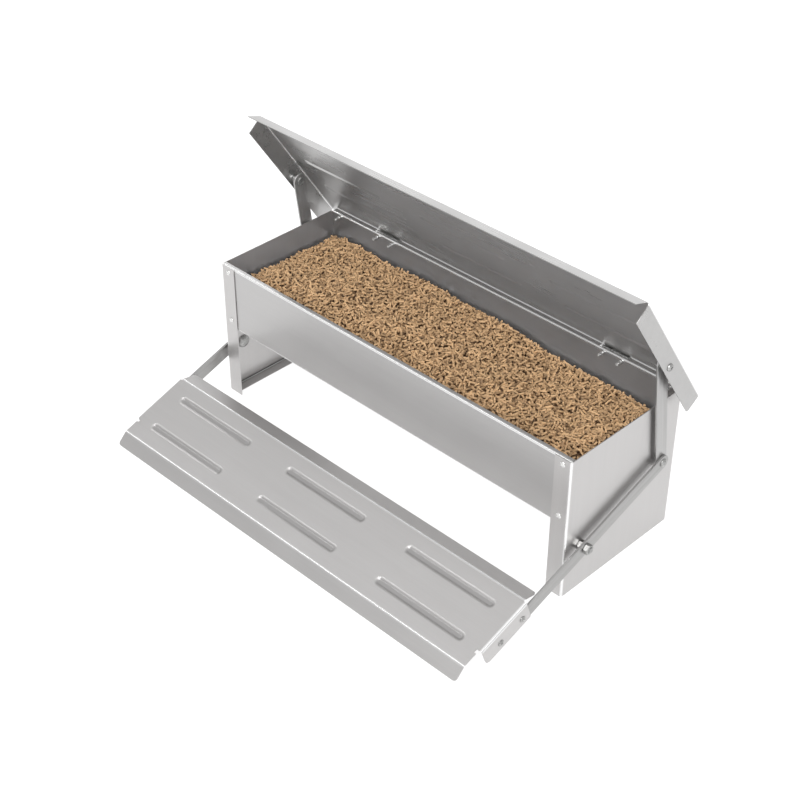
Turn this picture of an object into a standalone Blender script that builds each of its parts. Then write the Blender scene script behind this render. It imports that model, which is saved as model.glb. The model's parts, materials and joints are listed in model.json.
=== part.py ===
"""Treadle-operated poultry feeder in folded aluminium sheet.

A covered feed trough stands between two side panels. Two arms, bolted to the panels on M8
pivots, carry a step plate in front. Behind the pivots each arm drives a link bar, which is
bolted to the lid's side flange, so that the lid opens when the step goes down. The model
is at rest with the step down and the lid open.

Lengths are in millimetres and become metres when a mesh is made. Heights count from the
ground, and depths from the front face of the side panels. +X is right, -Y is the front.
"""

import math

import bmesh
import bpy
from mathutils import Matrix, Vector

MM = 0.001
GAP = 0.3
SHEET = 1.0

# Overall frame. Y_CENTRE moves the whole feeder so that its origin is under its middle.
Y_CENTRE = 13.65
BODY_HALF_WIDTH = 300.0
BODY_DEPTH = 203.0
BODY_HEIGHT = 203.0

# Side panels
FLANGE_INNER_X = 275.6
FOOT_WIDTH = 15.0
FOOT_SETBACK = 3.0

# Trough
TROUGH_BOTTOM = 107.0
TROUGH_LIP = 6.0
TROUGH_BACK_REACH = 208.5

# Lid hinges, with the pin's axis in depth and height
HINGE_X = (-196.0, 196.0)
PIN_Y = 207.5
PIN_Z = 200.6
PIN_RADIUS = 1.2
BARREL_RADIUS = 2.3
LEAF_WIDTH = 40.0
LEAF_SHEET = 1.2
KNUCKLE_WIDTH = 13.4
NOTCH_WIDTH = 45.0

# Lid, in its closed position from the hinge pin
LID_OPEN_DEGREES = 56.2
LID_UNDERSIDE = 2.9
LID_FRONT = -213.4
LID_REAR = 10.5
LID_HALF_WIDTH = 315.3
LID_FLANGE_DEPTH = 26.5
LID_LIP = 22.5
LID_LIP_DEGREES = 38.0
LID_REAR_CORNER = 3.0
LID_BOLT_Y = -89.7
LID_BOLT_Z = -12.8

# Step plate and arms, from the arm's pivot, with the arm level
PIVOT_Y = 28.0
PIVOT_Z = 67.0
ARM_DEGREES = 18.92
ARM_REACH = 148.0
ARM_FRONT = -155.5
ARM_HALF_HEIGHT = 9.5
STEP_TOP = 18.3
STEP_FRONT = -208.1
STEP_DEPTH = 105.5
STEP_NARROW_HALF = 306.1
STEP_NOTCH_HALF = 303.0
STEP_FLANGE_X = 310.2
STEP_NOTCH_START = 20.0
STEP_NOTCH_END = 25.0
STEP_FLANGE_DEPTH = 28.0
STEP_CORNER = 7.0
STEP_FRONT_FLANGE = 20.2
STEP_FRONT_DEGREES = 26.0
STEP_REAR_FLANGE = 21.0
STEP_REAR_DEGREES = 28.0
STEP_REAR_HALF = 305.8
STEP_RIVETS = (53.0, 91.0)

# Pressed stiffening ribs, shared by the lid and the step plate
RIB_LENGTH = 143.0
RIB_WIDTH = 14.0
RIB_HEIGHT = 2.0
RIB_TAPER = 0.82
RIB_X = (-211.0, 0.0, 211.0)
LID_RIB_Y = (-130.0, -68.0)
STEP_RIB_SETBACK = (26.5, 79.5)

# Layers outboard of the side panel, as distances from the middle
LINK_INNER = 303.6
LINK_THICK = 2.5
ARM_INNER = 306.4
ARM_THICK = 3.0
LINK_HALF_WIDTH = 10.0

# Fasteners
BLIND_HEAD = 3.9
BLIND_SHANK = 1.95
BLIND_HOLE = 2.25
BLIND_TAIL = 2.6
BLIND_TAIL_LENGTH = 8.0
FRONT_RIVET_X = 287.0
FRONT_RIVET_Z = (194.3, 119.6)
BACK_RIVET_X = 285.0
BACK_RIVET_Z = (197.0, 120.0)
HINGE_RIVET_Z = 197.0
HINGE_RIVET_OFFSET = 14.0
M8_RADIUS = 4.0
M8_HOLE = 4.3
M6_RADIUS = 3.0
M6_HOLE = 3.3
STEP_RIVET_RADIUS = 2.0
STEP_RIVET_HOLE = 2.3

DRILL_DEPTH = 6.0
ROUND_STEPS = 16
TURNED_STEPS = 12
DOME_STEPS = 3
DOME_EDGE = 0.3
SMOOTH_DEGREES = 35.0
SIDES = (("left", -1.0), ("right", 1.0))


def clear_scene():
    """Remove whatever the scene holds, so that the script can run again."""
    for obj in list(bpy.data.objects):
        bpy.data.objects.remove(obj)


def make_collection(name):
    """Add a collection to the scene."""
    collection = bpy.data.collections.new(name)
    bpy.context.scene.collection.children.link(collection)
    return collection


def make_material(name, colour, roughness, metallic):
    """Make a Principled material."""
    material = bpy.data.materials.new(name)
    material.use_nodes = True
    shader = material.node_tree.nodes["Principled BSDF"]
    shader.inputs["Base Color"].default_value = (*colour, 1.0)
    shader.inputs["Roughness"].default_value = roughness
    shader.inputs["Metallic"].default_value = metallic
    return material


def make_pivot(name, place, degrees, parent):
    """Add an empty on a joint's axis, turned about X."""
    pivot = bpy.data.objects.new(name, None)
    pivot.location = Vector(place) * MM
    pivot.rotation_euler = (math.radians(degrees), 0.0, 0.0)
    pivot.parent = parent
    bpy.context.scene.collection.objects.link(pivot)
    return pivot


def add_part(name, mesh, material, parent, place=(0.0, 0.0, 0.0), turn=None):
    """Add one sub-part to the feeder's collection."""
    obj = bpy.data.objects.new(name, mesh)
    obj.parent = parent
    obj.location = Vector(place) * MM
    if turn is not None:
        obj.rotation_mode = "QUATERNION"
        obj.rotation_quaternion = turn
    if not mesh.materials:
        mesh.materials.append(material)
    bpy.data.collections["poultry_feeder"].objects.link(obj)
    return obj


def add_cutter(name, mesh, parent):
    """Add a helper solid that only Boolean modifiers use."""
    obj = bpy.data.objects.new(name, mesh)
    obj.parent = parent
    obj.hide_render = True
    obj.display_type = "WIRE"
    bpy.data.collections["cutters"].objects.link(obj)
    return obj


def finish_mesh(name, form):
    """Turn a bmesh in millimetres into a mesh in metres."""
    bmesh.ops.scale(form, vec=(MM, MM, MM), verts=form.verts)
    mesh = bpy.data.meshes.new(name)
    form.to_mesh(mesh)
    form.free()
    return mesh


def smooth(mesh):
    """Shade the round faces smooth and keep the corners sharp."""
    mesh.shade_smooth()
    mesh.set_sharp_from_angle(angle=math.radians(SMOOTH_DEGREES))


def add_box(form, low, high, taper=1.0):
    """Add a box to a bmesh; its top is scaled by taper."""
    made = bmesh.ops.create_cube(form, size=1.0)["verts"]
    size = Vector(high) - Vector(low)
    middle = (Vector(high) + Vector(low)) / 2
    for vert in made:
        if vert.co.z > 0:
            vert.co.x -= math.copysign((1 - taper) * size.y / size.x / 2, vert.co.x)
            vert.co.y *= taper
    bmesh.ops.scale(form, vec=size, verts=made)
    bmesh.ops.translate(form, vec=middle, verts=made)


def add_rod(form, centre, direction, radius, length, sides=ROUND_STEPS):
    """Add a capped cylinder to a bmesh, centred on a point."""
    turn = Vector((0, 0, 1)).rotation_difference(Vector(direction))
    bmesh.ops.create_cone(
        form,
        cap_ends=True,
        segments=sides,
        radius1=radius,
        radius2=radius,
        depth=length,
        matrix=Matrix.LocRotScale(Vector(centre), turn, None),
    )


def boolean(obj, cutter, operation):
    """Join a helper solid to a part, or cut it away."""
    modifier = obj.modifiers.new(cutter.name, "BOOLEAN")
    modifier.operation = operation
    modifier.object = cutter


def drill(obj, label, holes, direction, radius, length):
    """Cut round holes along one direction through a part."""
    form = bmesh.new()
    for centre in holes:
        add_rod(form, centre, direction, radius, length)
    name = f"{obj.name}_{label}"
    boolean(obj, add_cutter(name, finish_mesh(name, form), obj.parent), "DIFFERENCE")


def cut_boxes(obj, label, boxes, operation="DIFFERENCE"):
    """Cut away or join plain boxes, each given by two corners."""
    form = bmesh.new()
    for low, high in boxes:
        add_box(form, low, high)
    name = f"{obj.name}_{label}"
    boolean(obj, add_cutter(name, finish_mesh(name, form), obj.parent), operation)


def thicken(obj):
    """Give an open surface the sheet's thickness, half on each side."""
    modifier = obj.modifiers.new("sheet", "SOLIDIFY")
    modifier.solidify_mode = "NON_MANIFOLD"
    modifier.nonmanifold_thickness_mode = "CONSTRAINTS"
    modifier.thickness = SHEET * MM
    modifier.offset = 0.0


def swept_path(points, travel):
    """Sweep a chain of points along a straight line into an open surface."""
    form = bmesh.new()
    verts = [form.verts.new(point) for point in points]
    edges = [form.edges.new(pair) for pair in zip(verts, verts[1:])]
    swept = bmesh.ops.extrude_edge_only(form, edges=edges)["geom"]
    moved = [item for item in swept if isinstance(item, bmesh.types.BMVert)]
    bmesh.ops.translate(form, vec=Vector(travel), verts=moved)
    return form


def fold_down(form, first, second, travel):
    """Extend a sheet from its edge between two corners, and return the new corners."""
    edge = form.edges.get((first, second))
    swept = bmesh.ops.extrude_edge_only(form, edges=[edge])["geom"]
    moved = [item for item in swept if isinstance(item, bmesh.types.BMVert)]
    bmesh.ops.translate(form, vec=Vector(travel), verts=moved)
    return moved


def round_corners(form, corners, radius):
    """Round flat corners of a sheet."""
    bmesh.ops.bevel(
        form,
        geom=corners,
        offset=radius,
        segments=4,
        profile=0.5,
        affect="VERTICES",
    )


def add_ribs(obj, rows, base, rise):
    """Press ribs into a sheet. base is the sheet's middle height, rise is up or down."""
    for label, inset, start, end, operation in (
        ("rib_outside", 0.0, 0.0, RIB_HEIGHT + SHEET / 2, "UNION"),
        ("rib_inside", SHEET, -SHEET, RIB_HEIGHT - SHEET / 2, "DIFFERENCE"),
    ):
        form = bmesh.new()
        half_x = RIB_LENGTH / 2 - inset
        half_y = RIB_WIDTH / 2 - inset
        for y in rows:
            for x in RIB_X:
                low = (x - half_x, y - half_y, start)
                high = (x + half_x, y + half_y, end)
                add_box(form, low, high, RIB_TAPER)
        if rise < 0:
            bmesh.ops.scale(form, vec=(1, 1, -1), verts=form.verts)
            bmesh.ops.reverse_faces(form, faces=form.faces)
        bmesh.ops.translate(form, vec=(0, 0, base), verts=form.verts)
        name = f"{obj.name}_{label}"
        boolean(obj, add_cutter(name, finish_mesh(name, form), obj.parent), operation)


def circle_points(centre, radius, sides=ROUND_STEPS):
    """Points round a circle."""
    return [
        (
            centre[0] + radius * math.cos(math.tau * step / sides),
            centre[1] + radius * math.sin(math.tau * step / sides),
        )
        for step in range(sides)
    ]


def bar_outline(first, second, radius):
    """The outline of a straight bar with full-round ends."""
    along = math.atan2(second[1] - first[1], second[0] - first[0])
    half_turn = ROUND_STEPS // 2
    points = []
    for centre, start in ((second, along - math.pi / 2), (first, along + math.pi / 2)):
        for step in range(half_turn + 1):
            angle = start + math.pi * step / half_turn
            points.append(
                (
                    centre[0] + radius * math.cos(angle),
                    centre[1] + radius * math.sin(angle),
                )
            )
    return points


def flat_piece(name, rings, thickness):
    """Make a flat piece from its outline and holes, which are drawn in depth and height."""
    curve = bpy.data.curves.new(name, "CURVE")
    curve.dimensions = "2D"
    curve.fill_mode = "BOTH"
    curve.extrude = thickness / 2 * MM
    for ring in rings:
        spline = curve.splines.new("POLY")
        spline.points.add(len(ring) - 1)
        for point, (u, v) in zip(spline.points, ring):
            point.co = (u * MM, v * MM, 0.0, 1.0)
        spline.use_cyclic_u = True
    drawing = bpy.data.objects.new(f"{name}_outline", curve)
    bpy.context.scene.collection.objects.link(drawing)
    bpy.context.view_layer.update()
    graph = bpy.context.evaluated_depsgraph_get()
    mesh = bpy.data.meshes.new_from_object(drawing.evaluated_get(graph))
    bpy.data.objects.remove(drawing)
    mesh.name = name
    form = bmesh.new()
    form.from_mesh(mesh)
    bmesh.ops.remove_doubles(form, verts=form.verts, dist=1e-6)
    bmesh.ops.recalc_face_normals(form, faces=form.faces)
    across = Matrix(((0, 0, 1), (1, 0, 0), (0, 1, 0))).to_4x4()
    bmesh.ops.transform(form, matrix=across, verts=form.verts)
    form.to_mesh(mesh)
    form.free()
    smooth(mesh)
    return mesh


def turned_part(name, profile, material, parent, place, direction):
    """Turn a profile of (radius, height) about its axis, head first, and point it."""
    form = bmesh.new()
    verts = [form.verts.new((radius, 0.0, height)) for radius, height in profile]
    for pair in zip(verts, verts[1:]):
        form.edges.new(pair)
    turn = Vector((0, 0, 1)).rotation_difference(Vector(direction))
    obj = add_part(name, finish_mesh(name, form), material, parent, place, turn)
    modifier = obj.modifiers.new("turned", "SCREW")
    modifier.steps = TURNED_STEPS
    modifier.render_steps = TURNED_STEPS
    modifier.use_merge_vertices = True
    modifier.merge_threshold = 0.00001
    modifier.use_smooth_shade = True
    return obj


def fastener_profile(head, head_height, shank, length, tail=0.0, tail_length=0.0):
    """A domed head over a shank, from the face it sits on, with an upset tail if asked."""
    dome = []
    for step in range(DOME_STEPS + 1):
        angle = math.pi / 2 * step / DOME_STEPS
        rise = DOME_EDGE + (1 - DOME_EDGE) * math.cos(angle)
        dome.append((head * math.sin(angle), GAP + head_height * rise))
    profile = [*dome, (head, GAP), (shank, GAP), (shank, -length)]
    if tail:
        profile += [(tail, -length), (tail, -length - tail_length)]
        profile.append((0.0, -length - tail_length))
    else:
        profile.append((0.0, -length))
    return profile


def blind_rivet(name, place, direction, stack, material, parent):
    """A pop rivet through a stack of sheets, from the outer face at place."""
    profile = fastener_profile(
        BLIND_HEAD, 1.2, BLIND_SHANK, stack + GAP, BLIND_TAIL, BLIND_TAIL_LENGTH
    )
    return turned_part(name, profile, material, parent, place, direction)


def nut_mesh(name, across_flats, bore, thickness):
    """A hexagon nut without its thread."""
    corner = across_flats / math.sqrt(3)
    rings = [circle_points((0, 0), corner, 6), circle_points((0, 0), bore)]
    return flat_piece(name, rings, thickness)


def build_side_panels(metal, frame):
    """Two folded end panels that stand on the ground."""
    mid = BODY_HALF_WIDTH - SHEET / 2
    for label, side in SIDES:
        path = [
            (side * FLANGE_INNER_X, SHEET / 2, 0),
            (side * mid, SHEET / 2, 0),
            (side * mid, BODY_DEPTH - SHEET / 2, 0),
            (side * FLANGE_INNER_X, BODY_DEPTH - SHEET / 2, 0),
        ]
        name = f"side_panel_{label}"
        form = swept_path(path, (0, 0, BODY_HEIGHT))
        panel = add_part(name, finish_mesh(name, form), metal, frame)
        thicken(panel)
        foot = sorted((side * mid, side * (mid - FOOT_WIDTH)))
        cut_boxes(
            panel,
            "foot",
            [((foot[0], FOOT_SETBACK, 0), (foot[1], BODY_DEPTH - FOOT_SETBACK, SHEET))],
            "UNION",
        )
        inner = sorted((side * (FLANGE_INNER_X - 5), side * (mid - SHEET / 2)))
        top = BODY_HEIGHT - SHEET - GAP
        cut_boxes(
            panel,
            "back_top",
            [((inner[0], BODY_DEPTH - 2, top), (inner[1], BODY_DEPTH + 2, BODY_HEIGHT + 2))],
        )
        front = [(side * FRONT_RIVET_X, 0, z) for z in FRONT_RIVET_Z]
        back = [(side * BACK_RIVET_X, BODY_DEPTH, z) for z in BACK_RIVET_Z]
        drill(panel, "rivet_holes", front + back, (0, 1, 0), BLIND_HOLE, DRILL_DEPTH)
        pivot = [(side * mid, PIVOT_Y, PIVOT_Z)]
        drill(panel, "pivot_hole", pivot, (1, 0, 0), M8_HOLE, DRILL_DEPTH)


def build_trough(metal, frame):
    """The feed trough, folded from one sheet, open at the ends where the panels close it."""
    front = SHEET + GAP + SHEET / 2
    back = BODY_DEPTH - SHEET - GAP - SHEET / 2
    top = BODY_HEIGHT - SHEET / 2
    floor = TROUGH_BOTTOM + SHEET / 2
    half = BODY_HALF_WIDTH - SHEET - GAP
    path = [
        (-half, front + TROUGH_LIP, top),
        (-half, front, top),
        (-half, front, floor),
        (-half, back, floor),
        (-half, back, top),
        (-half, TROUGH_BACK_REACH, top),
    ]
    form = swept_path(path, (2 * half, 0, 0))
    trough = add_part("trough", finish_mesh("trough", form), metal, frame)
    thicken(trough)
    edge = BODY_DEPTH + 0.2
    notches = [
        (
            (x - NOTCH_WIDTH / 2, edge, top - 3),
            (x + NOTCH_WIDTH / 2, TROUGH_BACK_REACH + 2, top + 3),
        )
        for x in HINGE_X
    ]
    cut_boxes(trough, "hinge_notches", notches)
    front_holes = [(s * FRONT_RIVET_X, front, z) for _, s in SIDES for z in FRONT_RIVET_Z]
    back_holes = [(s * BACK_RIVET_X, back, z) for _, s in SIDES for z in BACK_RIVET_Z]
    hinge_holes = [
        (x + offset, back, HINGE_RIVET_Z)
        for x in HINGE_X
        for offset in (-HINGE_RIVET_OFFSET, HINGE_RIVET_OFFSET)
    ]
    holes = front_holes + back_holes + hinge_holes
    drill(trough, "rivet_holes", holes, (0, 1, 0), BLIND_HOLE, DRILL_DEPTH)


def build_body_rivets(zinc, frame):
    """Pop rivets that hold the trough to the end panels."""
    stack = 2 * SHEET + GAP
    for label, side in SIDES:
        for level, z in zip(("upper", "lower"), FRONT_RIVET_Z):
            place = (side * FRONT_RIVET_X, 0, z)
            blind_rivet(f"front_rivet_{label}_{level}", place, (0, -1, 0), stack, zinc, frame)
        for level, z in zip(("upper", "lower"), BACK_RIVET_Z):
            place = (side * BACK_RIVET_X, BODY_DEPTH, z)
            blind_rivet(f"back_rivet_{label}_{level}", place, (0, 1, 0), stack, zinc, frame)


def hinge_leaf(name, plate, tongues, knuckles, pin, metal, parent):
    """One hinge leaf: a plate, and tongues that end in barrels round the pin."""
    form = bmesh.new()
    add_box(form, *plate)
    leaf = add_part(name, finish_mesh(name, form), metal, parent)
    cut_boxes(leaf, "tongues", tongues, "UNION")
    form = bmesh.new()
    for x in knuckles:
        add_rod(form, (x, *pin), (1, 0, 0), BARREL_RADIUS, KNUCKLE_WIDTH - 2 * GAP)
    barrel = add_cutter(f"{name}_barrel", finish_mesh(f"{name}_barrel", form), parent)
    boolean(leaf, barrel, "UNION")
    form = bmesh.new()
    add_rod(form, (knuckles[0], *pin), (1, 0, 0), PIN_RADIUS + GAP, 3 * LEAF_WIDTH)
    bore = add_cutter(f"{name}_bore", finish_mesh(f"{name}_bore", form), parent)
    boolean(leaf, bore, "DIFFERENCE")
    return leaf


def build_hinges(zinc, frame, lid_pivot):
    """Two small butt hinges behind the trough, with their pins and rivets."""
    face = BODY_DEPTH - SHEET
    half = LEAF_WIDTH / 2
    tongue_half = KNUCKLE_WIDTH / 2 - 2 * GAP
    for (label, _), x in zip(SIDES, HINGE_X):
        fixed = hinge_leaf(
            f"hinge_fixed_leaf_{label}",
            ((x - half, face, 186.0), (x + half, face + LEAF_SHEET, 201.2)),
            [((x - tongue_half, face + 0.6, 198.5), (x + tongue_half, PIN_Y - 1.7, 199.7))],
            [x],
            (PIN_Y, PIN_Z),
            zinc,
            frame,
        )
        rivets = [x - HINGE_RIVET_OFFSET, x + HINGE_RIVET_OFFSET]
        holes = [(u, face, HINGE_RIVET_Z) for u in rivets]
        drill(fixed, "rivet_holes", holes, (0, 1, 0), BLIND_HOLE, DRILL_DEPTH)
        for place, u in zip(("outer", "inner") if x < 0 else ("inner", "outer"), rivets):
            blind_rivet(
                f"hinge_rivet_{label}_{place}",
                (u, face + LEAF_SHEET, HINGE_RIVET_Z),
                (0, 1, 0),
                LEAF_SHEET + SHEET + GAP,
                zinc,
                frame,
            )
        plate_top = LID_UNDERSIDE - GAP
        hinge_leaf(
            f"hinge_moving_leaf_{label}",
            ((x - half, 2.8, plate_top - LEAF_SHEET), (x + half, 9.5, plate_top)),
            [
                (
                    (x + s * KNUCKLE_WIDTH - tongue_half, 1.7, plate_top - 1.4),
                    (x + s * KNUCKLE_WIDTH + tongue_half, 3.6, plate_top - 0.2),
                )
                for s in (-1, 1)
            ],
            [x - KNUCKLE_WIDTH, x + KNUCKLE_WIDTH],
            (0, 0),
            zinc,
            lid_pivot,
        )
        length = LEAF_WIDTH + 1.0
        profile = [(0, length), (PIN_RADIUS, length), (PIN_RADIUS, 0), (0, 0)]
        place = (x - length / 2, PIN_Y, PIN_Z)
        turned_part(f"hinge_pin_{label}", profile, zinc, frame, place, (1, 0, 0))


def build_lid(metal, lid_pivot):
    """The lid: one sheet with side flanges, a front lip and pressed ribs."""
    height = LID_UNDERSIDE + SHEET / 2
    half = LID_HALF_WIDTH
    drop = LID_FLANGE_DEPTH - SHEET / 2
    slope = math.radians(LID_LIP_DEGREES)
    form = bmesh.new()
    corners = [
        form.verts.new(place)
        for place in (
            (-half, LID_FRONT, height),
            (half, LID_FRONT, height),
            (half, LID_REAR, height),
            (-half, LID_REAR, height),
        )
    ]
    form.faces.new(corners)
    front_left, front_right, rear_right, rear_left = corners
    lip = (0, -LID_LIP * math.cos(slope), -LID_LIP * math.sin(slope))
    fold_down(form, front_left, front_right, lip)
    lower = fold_down(form, front_right, rear_right, (0, 0, -drop))
    lower += fold_down(form, rear_left, front_left, (0, 0, -drop))
    rear = [vert for vert in lower if vert.co.y > 0]
    round_corners(form, rear, LID_REAR_CORNER)
    bmesh.ops.recalc_face_normals(form, faces=form.faces)
    lid = add_part("lid", finish_mesh("lid", form), metal, lid_pivot)
    thicken(lid)
    add_ribs(lid, LID_RIB_Y, height, 1)
    bolts = [(side * half, LID_BOLT_Y, LID_BOLT_Z) for _, side in SIDES]
    drill(lid, "bolt_holes", bolts, (1, 0, 0), M6_HOLE, DRILL_DEPTH)


def build_lid_bolts(zinc, lid_pivot):
    """The bolt, spacer and nut on each side that carry a link bar on the lid."""
    flange_outer = LID_HALF_WIDTH + SHEET / 2
    flange_inner = LID_HALF_WIDTH - SHEET / 2
    spacer_length = flange_inner - ARM_INNER - GAP
    nut_thick = 2.6
    for label, side in SIDES:
        outward = (side, 0, 0)
        profile = fastener_profile(5.0, 3.0, M6_RADIUS, 15.3)
        turned_part(
            f"lid_bolt_{label}",
            profile,
            zinc,
            lid_pivot,
            (side * flange_outer, LID_BOLT_Y, LID_BOLT_Z),
            outward,
        )
        rings = [circle_points((0, 0), 5.0), circle_points((0, 0), M6_HOLE)]
        spacer = flat_piece(f"lid_spacer_{label}", rings, spacer_length)
        middle = ARM_INNER + spacer_length / 2
        add_part(
            f"lid_spacer_{label}",
            spacer,
            zinc,
            lid_pivot,
            (side * middle, LID_BOLT_Y, LID_BOLT_Z),
        )
        nut = nut_mesh(f"lid_nut_{label}", 10.0, M6_HOLE, nut_thick)
        middle = LINK_INNER - GAP - nut_thick / 2
        add_part(
            f"lid_nut_{label}", nut, zinc, lid_pivot, (side * middle, LID_BOLT_Y, LID_BOLT_Z)
        )


def build_links(metal, zinc, link_pivots, link_length):
    """Flat bars from the lid's bolts down to the arms' rear ends."""
    for label, side in SIDES:
        pivot = link_pivots[label]
        rings = [
            bar_outline((0, 0), (0, -link_length), LINK_HALF_WIDTH),
            circle_points((0, 0), M6_HOLE),
            circle_points((0, -link_length), M6_HOLE),
        ]
        name = f"link_bar_{label}"
        middle = side * (LINK_INNER + LINK_THICK / 2)
        add_part(name, flat_piece(name, rings, LINK_THICK), metal, pivot, (middle, 0, 0))
        profile = fastener_profile(5.0, 2.5, M6_RADIUS, 2.3)
        turned_part(
            f"link_rivet_{label}",
            profile,
            zinc,
            pivot,
            (side * LINK_INNER, 0, -link_length),
            (-side, 0, 0),
        )


def build_step(metal, treadle_pivot):
    """The step plate: one sheet with flanges all round and pressed ribs."""
    height = STEP_TOP - SHEET / 2
    rear = STEP_FRONT + STEP_DEPTH
    notch_start = STEP_FRONT + STEP_NOTCH_START
    notch_end = STEP_FRONT + STEP_NOTCH_END
    half_outline = [
        (STEP_NARROW_HALF, STEP_FRONT),
        (STEP_NARROW_HALF, notch_start),
        (STEP_NOTCH_HALF, notch_start),
        (STEP_NOTCH_HALF, notch_end),
        (STEP_FLANGE_X, notch_end),
        (STEP_FLANGE_X, rear),
        (STEP_REAR_HALF, rear),
    ]
    form = bmesh.new()
    right = [form.verts.new((x, y, height)) for x, y in half_outline]
    left = [form.verts.new((-x, y, height)) for x, y in reversed(half_outline)]
    form.faces.new(right + left)
    front_slope = math.radians(STEP_FRONT_DEGREES)
    rear_slope = math.radians(STEP_REAR_DEGREES)
    front_fall = Vector((0, -math.cos(front_slope), -math.sin(front_slope)))
    rear_fall = Vector((0, math.cos(rear_slope), -math.sin(rear_slope)))
    fold_down(form, left[-1], right[0], front_fall * STEP_FRONT_FLANGE)
    fold_down(form, right[-1], left[0], rear_fall * STEP_REAR_FLANGE)
    drop = (0, 0, -(STEP_FLANGE_DEPTH - SHEET / 2))
    lower = fold_down(form, right[4], right[5], drop) + fold_down(form, left[1], left[2], drop)
    front_lower = [vert for vert in lower if abs(vert.co.y - notch_end) < 1.0]
    round_corners(form, front_lower, STEP_CORNER)
    bmesh.ops.recalc_face_normals(form, faces=form.faces)
    step = add_part("treadle_plate", finish_mesh("treadle_plate", form), metal, treadle_pivot)
    thicken(step)
    rows = [STEP_FRONT + setback for setback in STEP_RIB_SETBACK]
    add_ribs(step, rows, height, -1)
    holes = [
        (side * STEP_FLANGE_X, STEP_FRONT + setback, 0)
        for _, side in SIDES
        for setback in STEP_RIVETS
    ]
    drill(step, "rivet_holes", holes, (1, 0, 0), STEP_RIVET_HOLE, DRILL_DEPTH)


def build_arms(metal, zinc, treadle_pivot):
    """The two arms under the step, with the rivets that hold them to it."""
    rivet_y = [STEP_FRONT + setback for setback in STEP_RIVETS]
    arm_outer = ARM_INNER + ARM_THICK
    flange_outer = STEP_FLANGE_X + SHEET / 2
    for label, side in SIDES:
        rings = [
            bar_outline((ARM_FRONT, 0), (ARM_REACH, 0), ARM_HALF_HEIGHT),
            circle_points((0, 0), M8_HOLE),
            circle_points((ARM_REACH, 0), M6_HOLE),
        ]
        rings += [circle_points((y, 0), STEP_RIVET_HOLE) for y in rivet_y]
        name = f"treadle_arm_{label}"
        middle = side * (ARM_INNER + ARM_THICK / 2)
        arm = flat_piece(name, rings, ARM_THICK)
        add_part(name, arm, metal, treadle_pivot, (middle, 0, 0))
        stack = flange_outer - ARM_INNER
        profile = fastener_profile(4.5, 1.8, STEP_RIVET_RADIUS, stack + GAP, 3.4, 1.4)
        for place, y in zip(("front", "rear"), rivet_y):
            turned_part(
                f"treadle_rivet_{label}_{place}",
                profile,
                zinc,
                treadle_pivot,
                (side * flange_outer, y, 0),
                (side, 0, 0),
            )
        profile = fastener_profile(5.5, 2.8, M6_RADIUS, 2.8)
        turned_part(
            f"arm_rivet_{label}",
            profile,
            zinc,
            treadle_pivot,
            (side * arm_outer, ARM_REACH, 0),
            (side, 0, 0),
        )


def build_pivots(zinc, frame):
    """The M8 bolts that the arms turn on, each with a nut inside and outside the arm."""
    panel_inner = BODY_HALF_WIDTH - SHEET
    inner_thick = ARM_INNER - BODY_HALF_WIDTH - 2 * GAP
    outer_thick = 6.0
    arm_outer = ARM_INNER + ARM_THICK
    bolt_end = arm_outer + GAP + outer_thick + 1.5
    for label, side in SIDES:
        place = (side * panel_inner, PIVOT_Y, PIVOT_Z)
        profile = fastener_profile(9.5, 4.7, M8_RADIUS, bolt_end - panel_inner)
        turned_part(f"pivot_bolt_{label}", profile, zinc, frame, place, (-side, 0, 0))
        for where, thick, start in (
            ("inner", inner_thick, BODY_HALF_WIDTH + GAP),
            ("outer", outer_thick, arm_outer + GAP),
        ):
            name = f"pivot_{where}_nut_{label}"
            nut = nut_mesh(name, 12.0, M8_HOLE, thick)
            middle = side * (start + thick / 2)
            add_part(name, nut, zinc, frame, (middle, PIVOT_Y, PIVOT_Z))


def build_feeder():
    """Build the feeder with the step down and the lid open."""
    clear_scene()
    make_collection("poultry_feeder")
    make_collection("cutters")
    sheet = make_material("aluminium_sheet", (0.78, 0.79, 0.80), 0.35, 1.0)
    bar = make_material("aluminium_bar", (0.72, 0.73, 0.74), 0.4, 1.0)
    zinc = make_material("zinc_steel", (0.62, 0.63, 0.62), 0.3, 1.0)

    frame = make_pivot("frame_origin", (0, -Y_CENTRE, 0), 0, None)
    treadle_pivot = make_pivot("treadle_pivot", (0, PIVOT_Y, PIVOT_Z), ARM_DEGREES, frame)
    lid_pivot = make_pivot("lid_hinge", (0, PIN_Y, PIN_Z), -LID_OPEN_DEGREES, frame)

    arm_angle = math.radians(ARM_DEGREES)
    arm_end = Vector((PIVOT_Y, PIVOT_Z))
    arm_end += Vector((math.cos(arm_angle), math.sin(arm_angle))) * ARM_REACH
    opening = math.radians(LID_OPEN_DEGREES)
    bolt = Vector(
        (
            PIN_Y + LID_BOLT_Y * math.cos(opening) + LID_BOLT_Z * math.sin(opening),
            PIN_Z - LID_BOLT_Y * math.sin(opening) + LID_BOLT_Z * math.cos(opening),
        )
    )
    along = arm_end - bolt
    lean = math.degrees(math.atan2(along.x, -along.y))
    link_pivots = {
        label: make_pivot(f"link_pivot_{label}", (0, bolt.x, bolt.y), lean, frame)
        for label, _ in SIDES
    }

    build_side_panels(sheet, frame)
    build_trough(sheet, frame)
    build_body_rivets(zinc, frame)
    build_hinges(zinc, frame, lid_pivot)
    build_lid(sheet, lid_pivot)
    build_lid_bolts(zinc, lid_pivot)
    build_links(bar, zinc, link_pivots, along.length)
    build_step(sheet, treadle_pivot)
    build_arms(bar, zinc, treadle_pivot)
    build_pivots(zinc, frame)


build_feeder()
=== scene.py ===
import json
import logging
import math
from collections.abc import Callable, Sequence
from dataclasses import dataclass, field
from enum import Enum

import bmesh
import bpy
import numpy as np
from mathutils import Matrix, Vector

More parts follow.
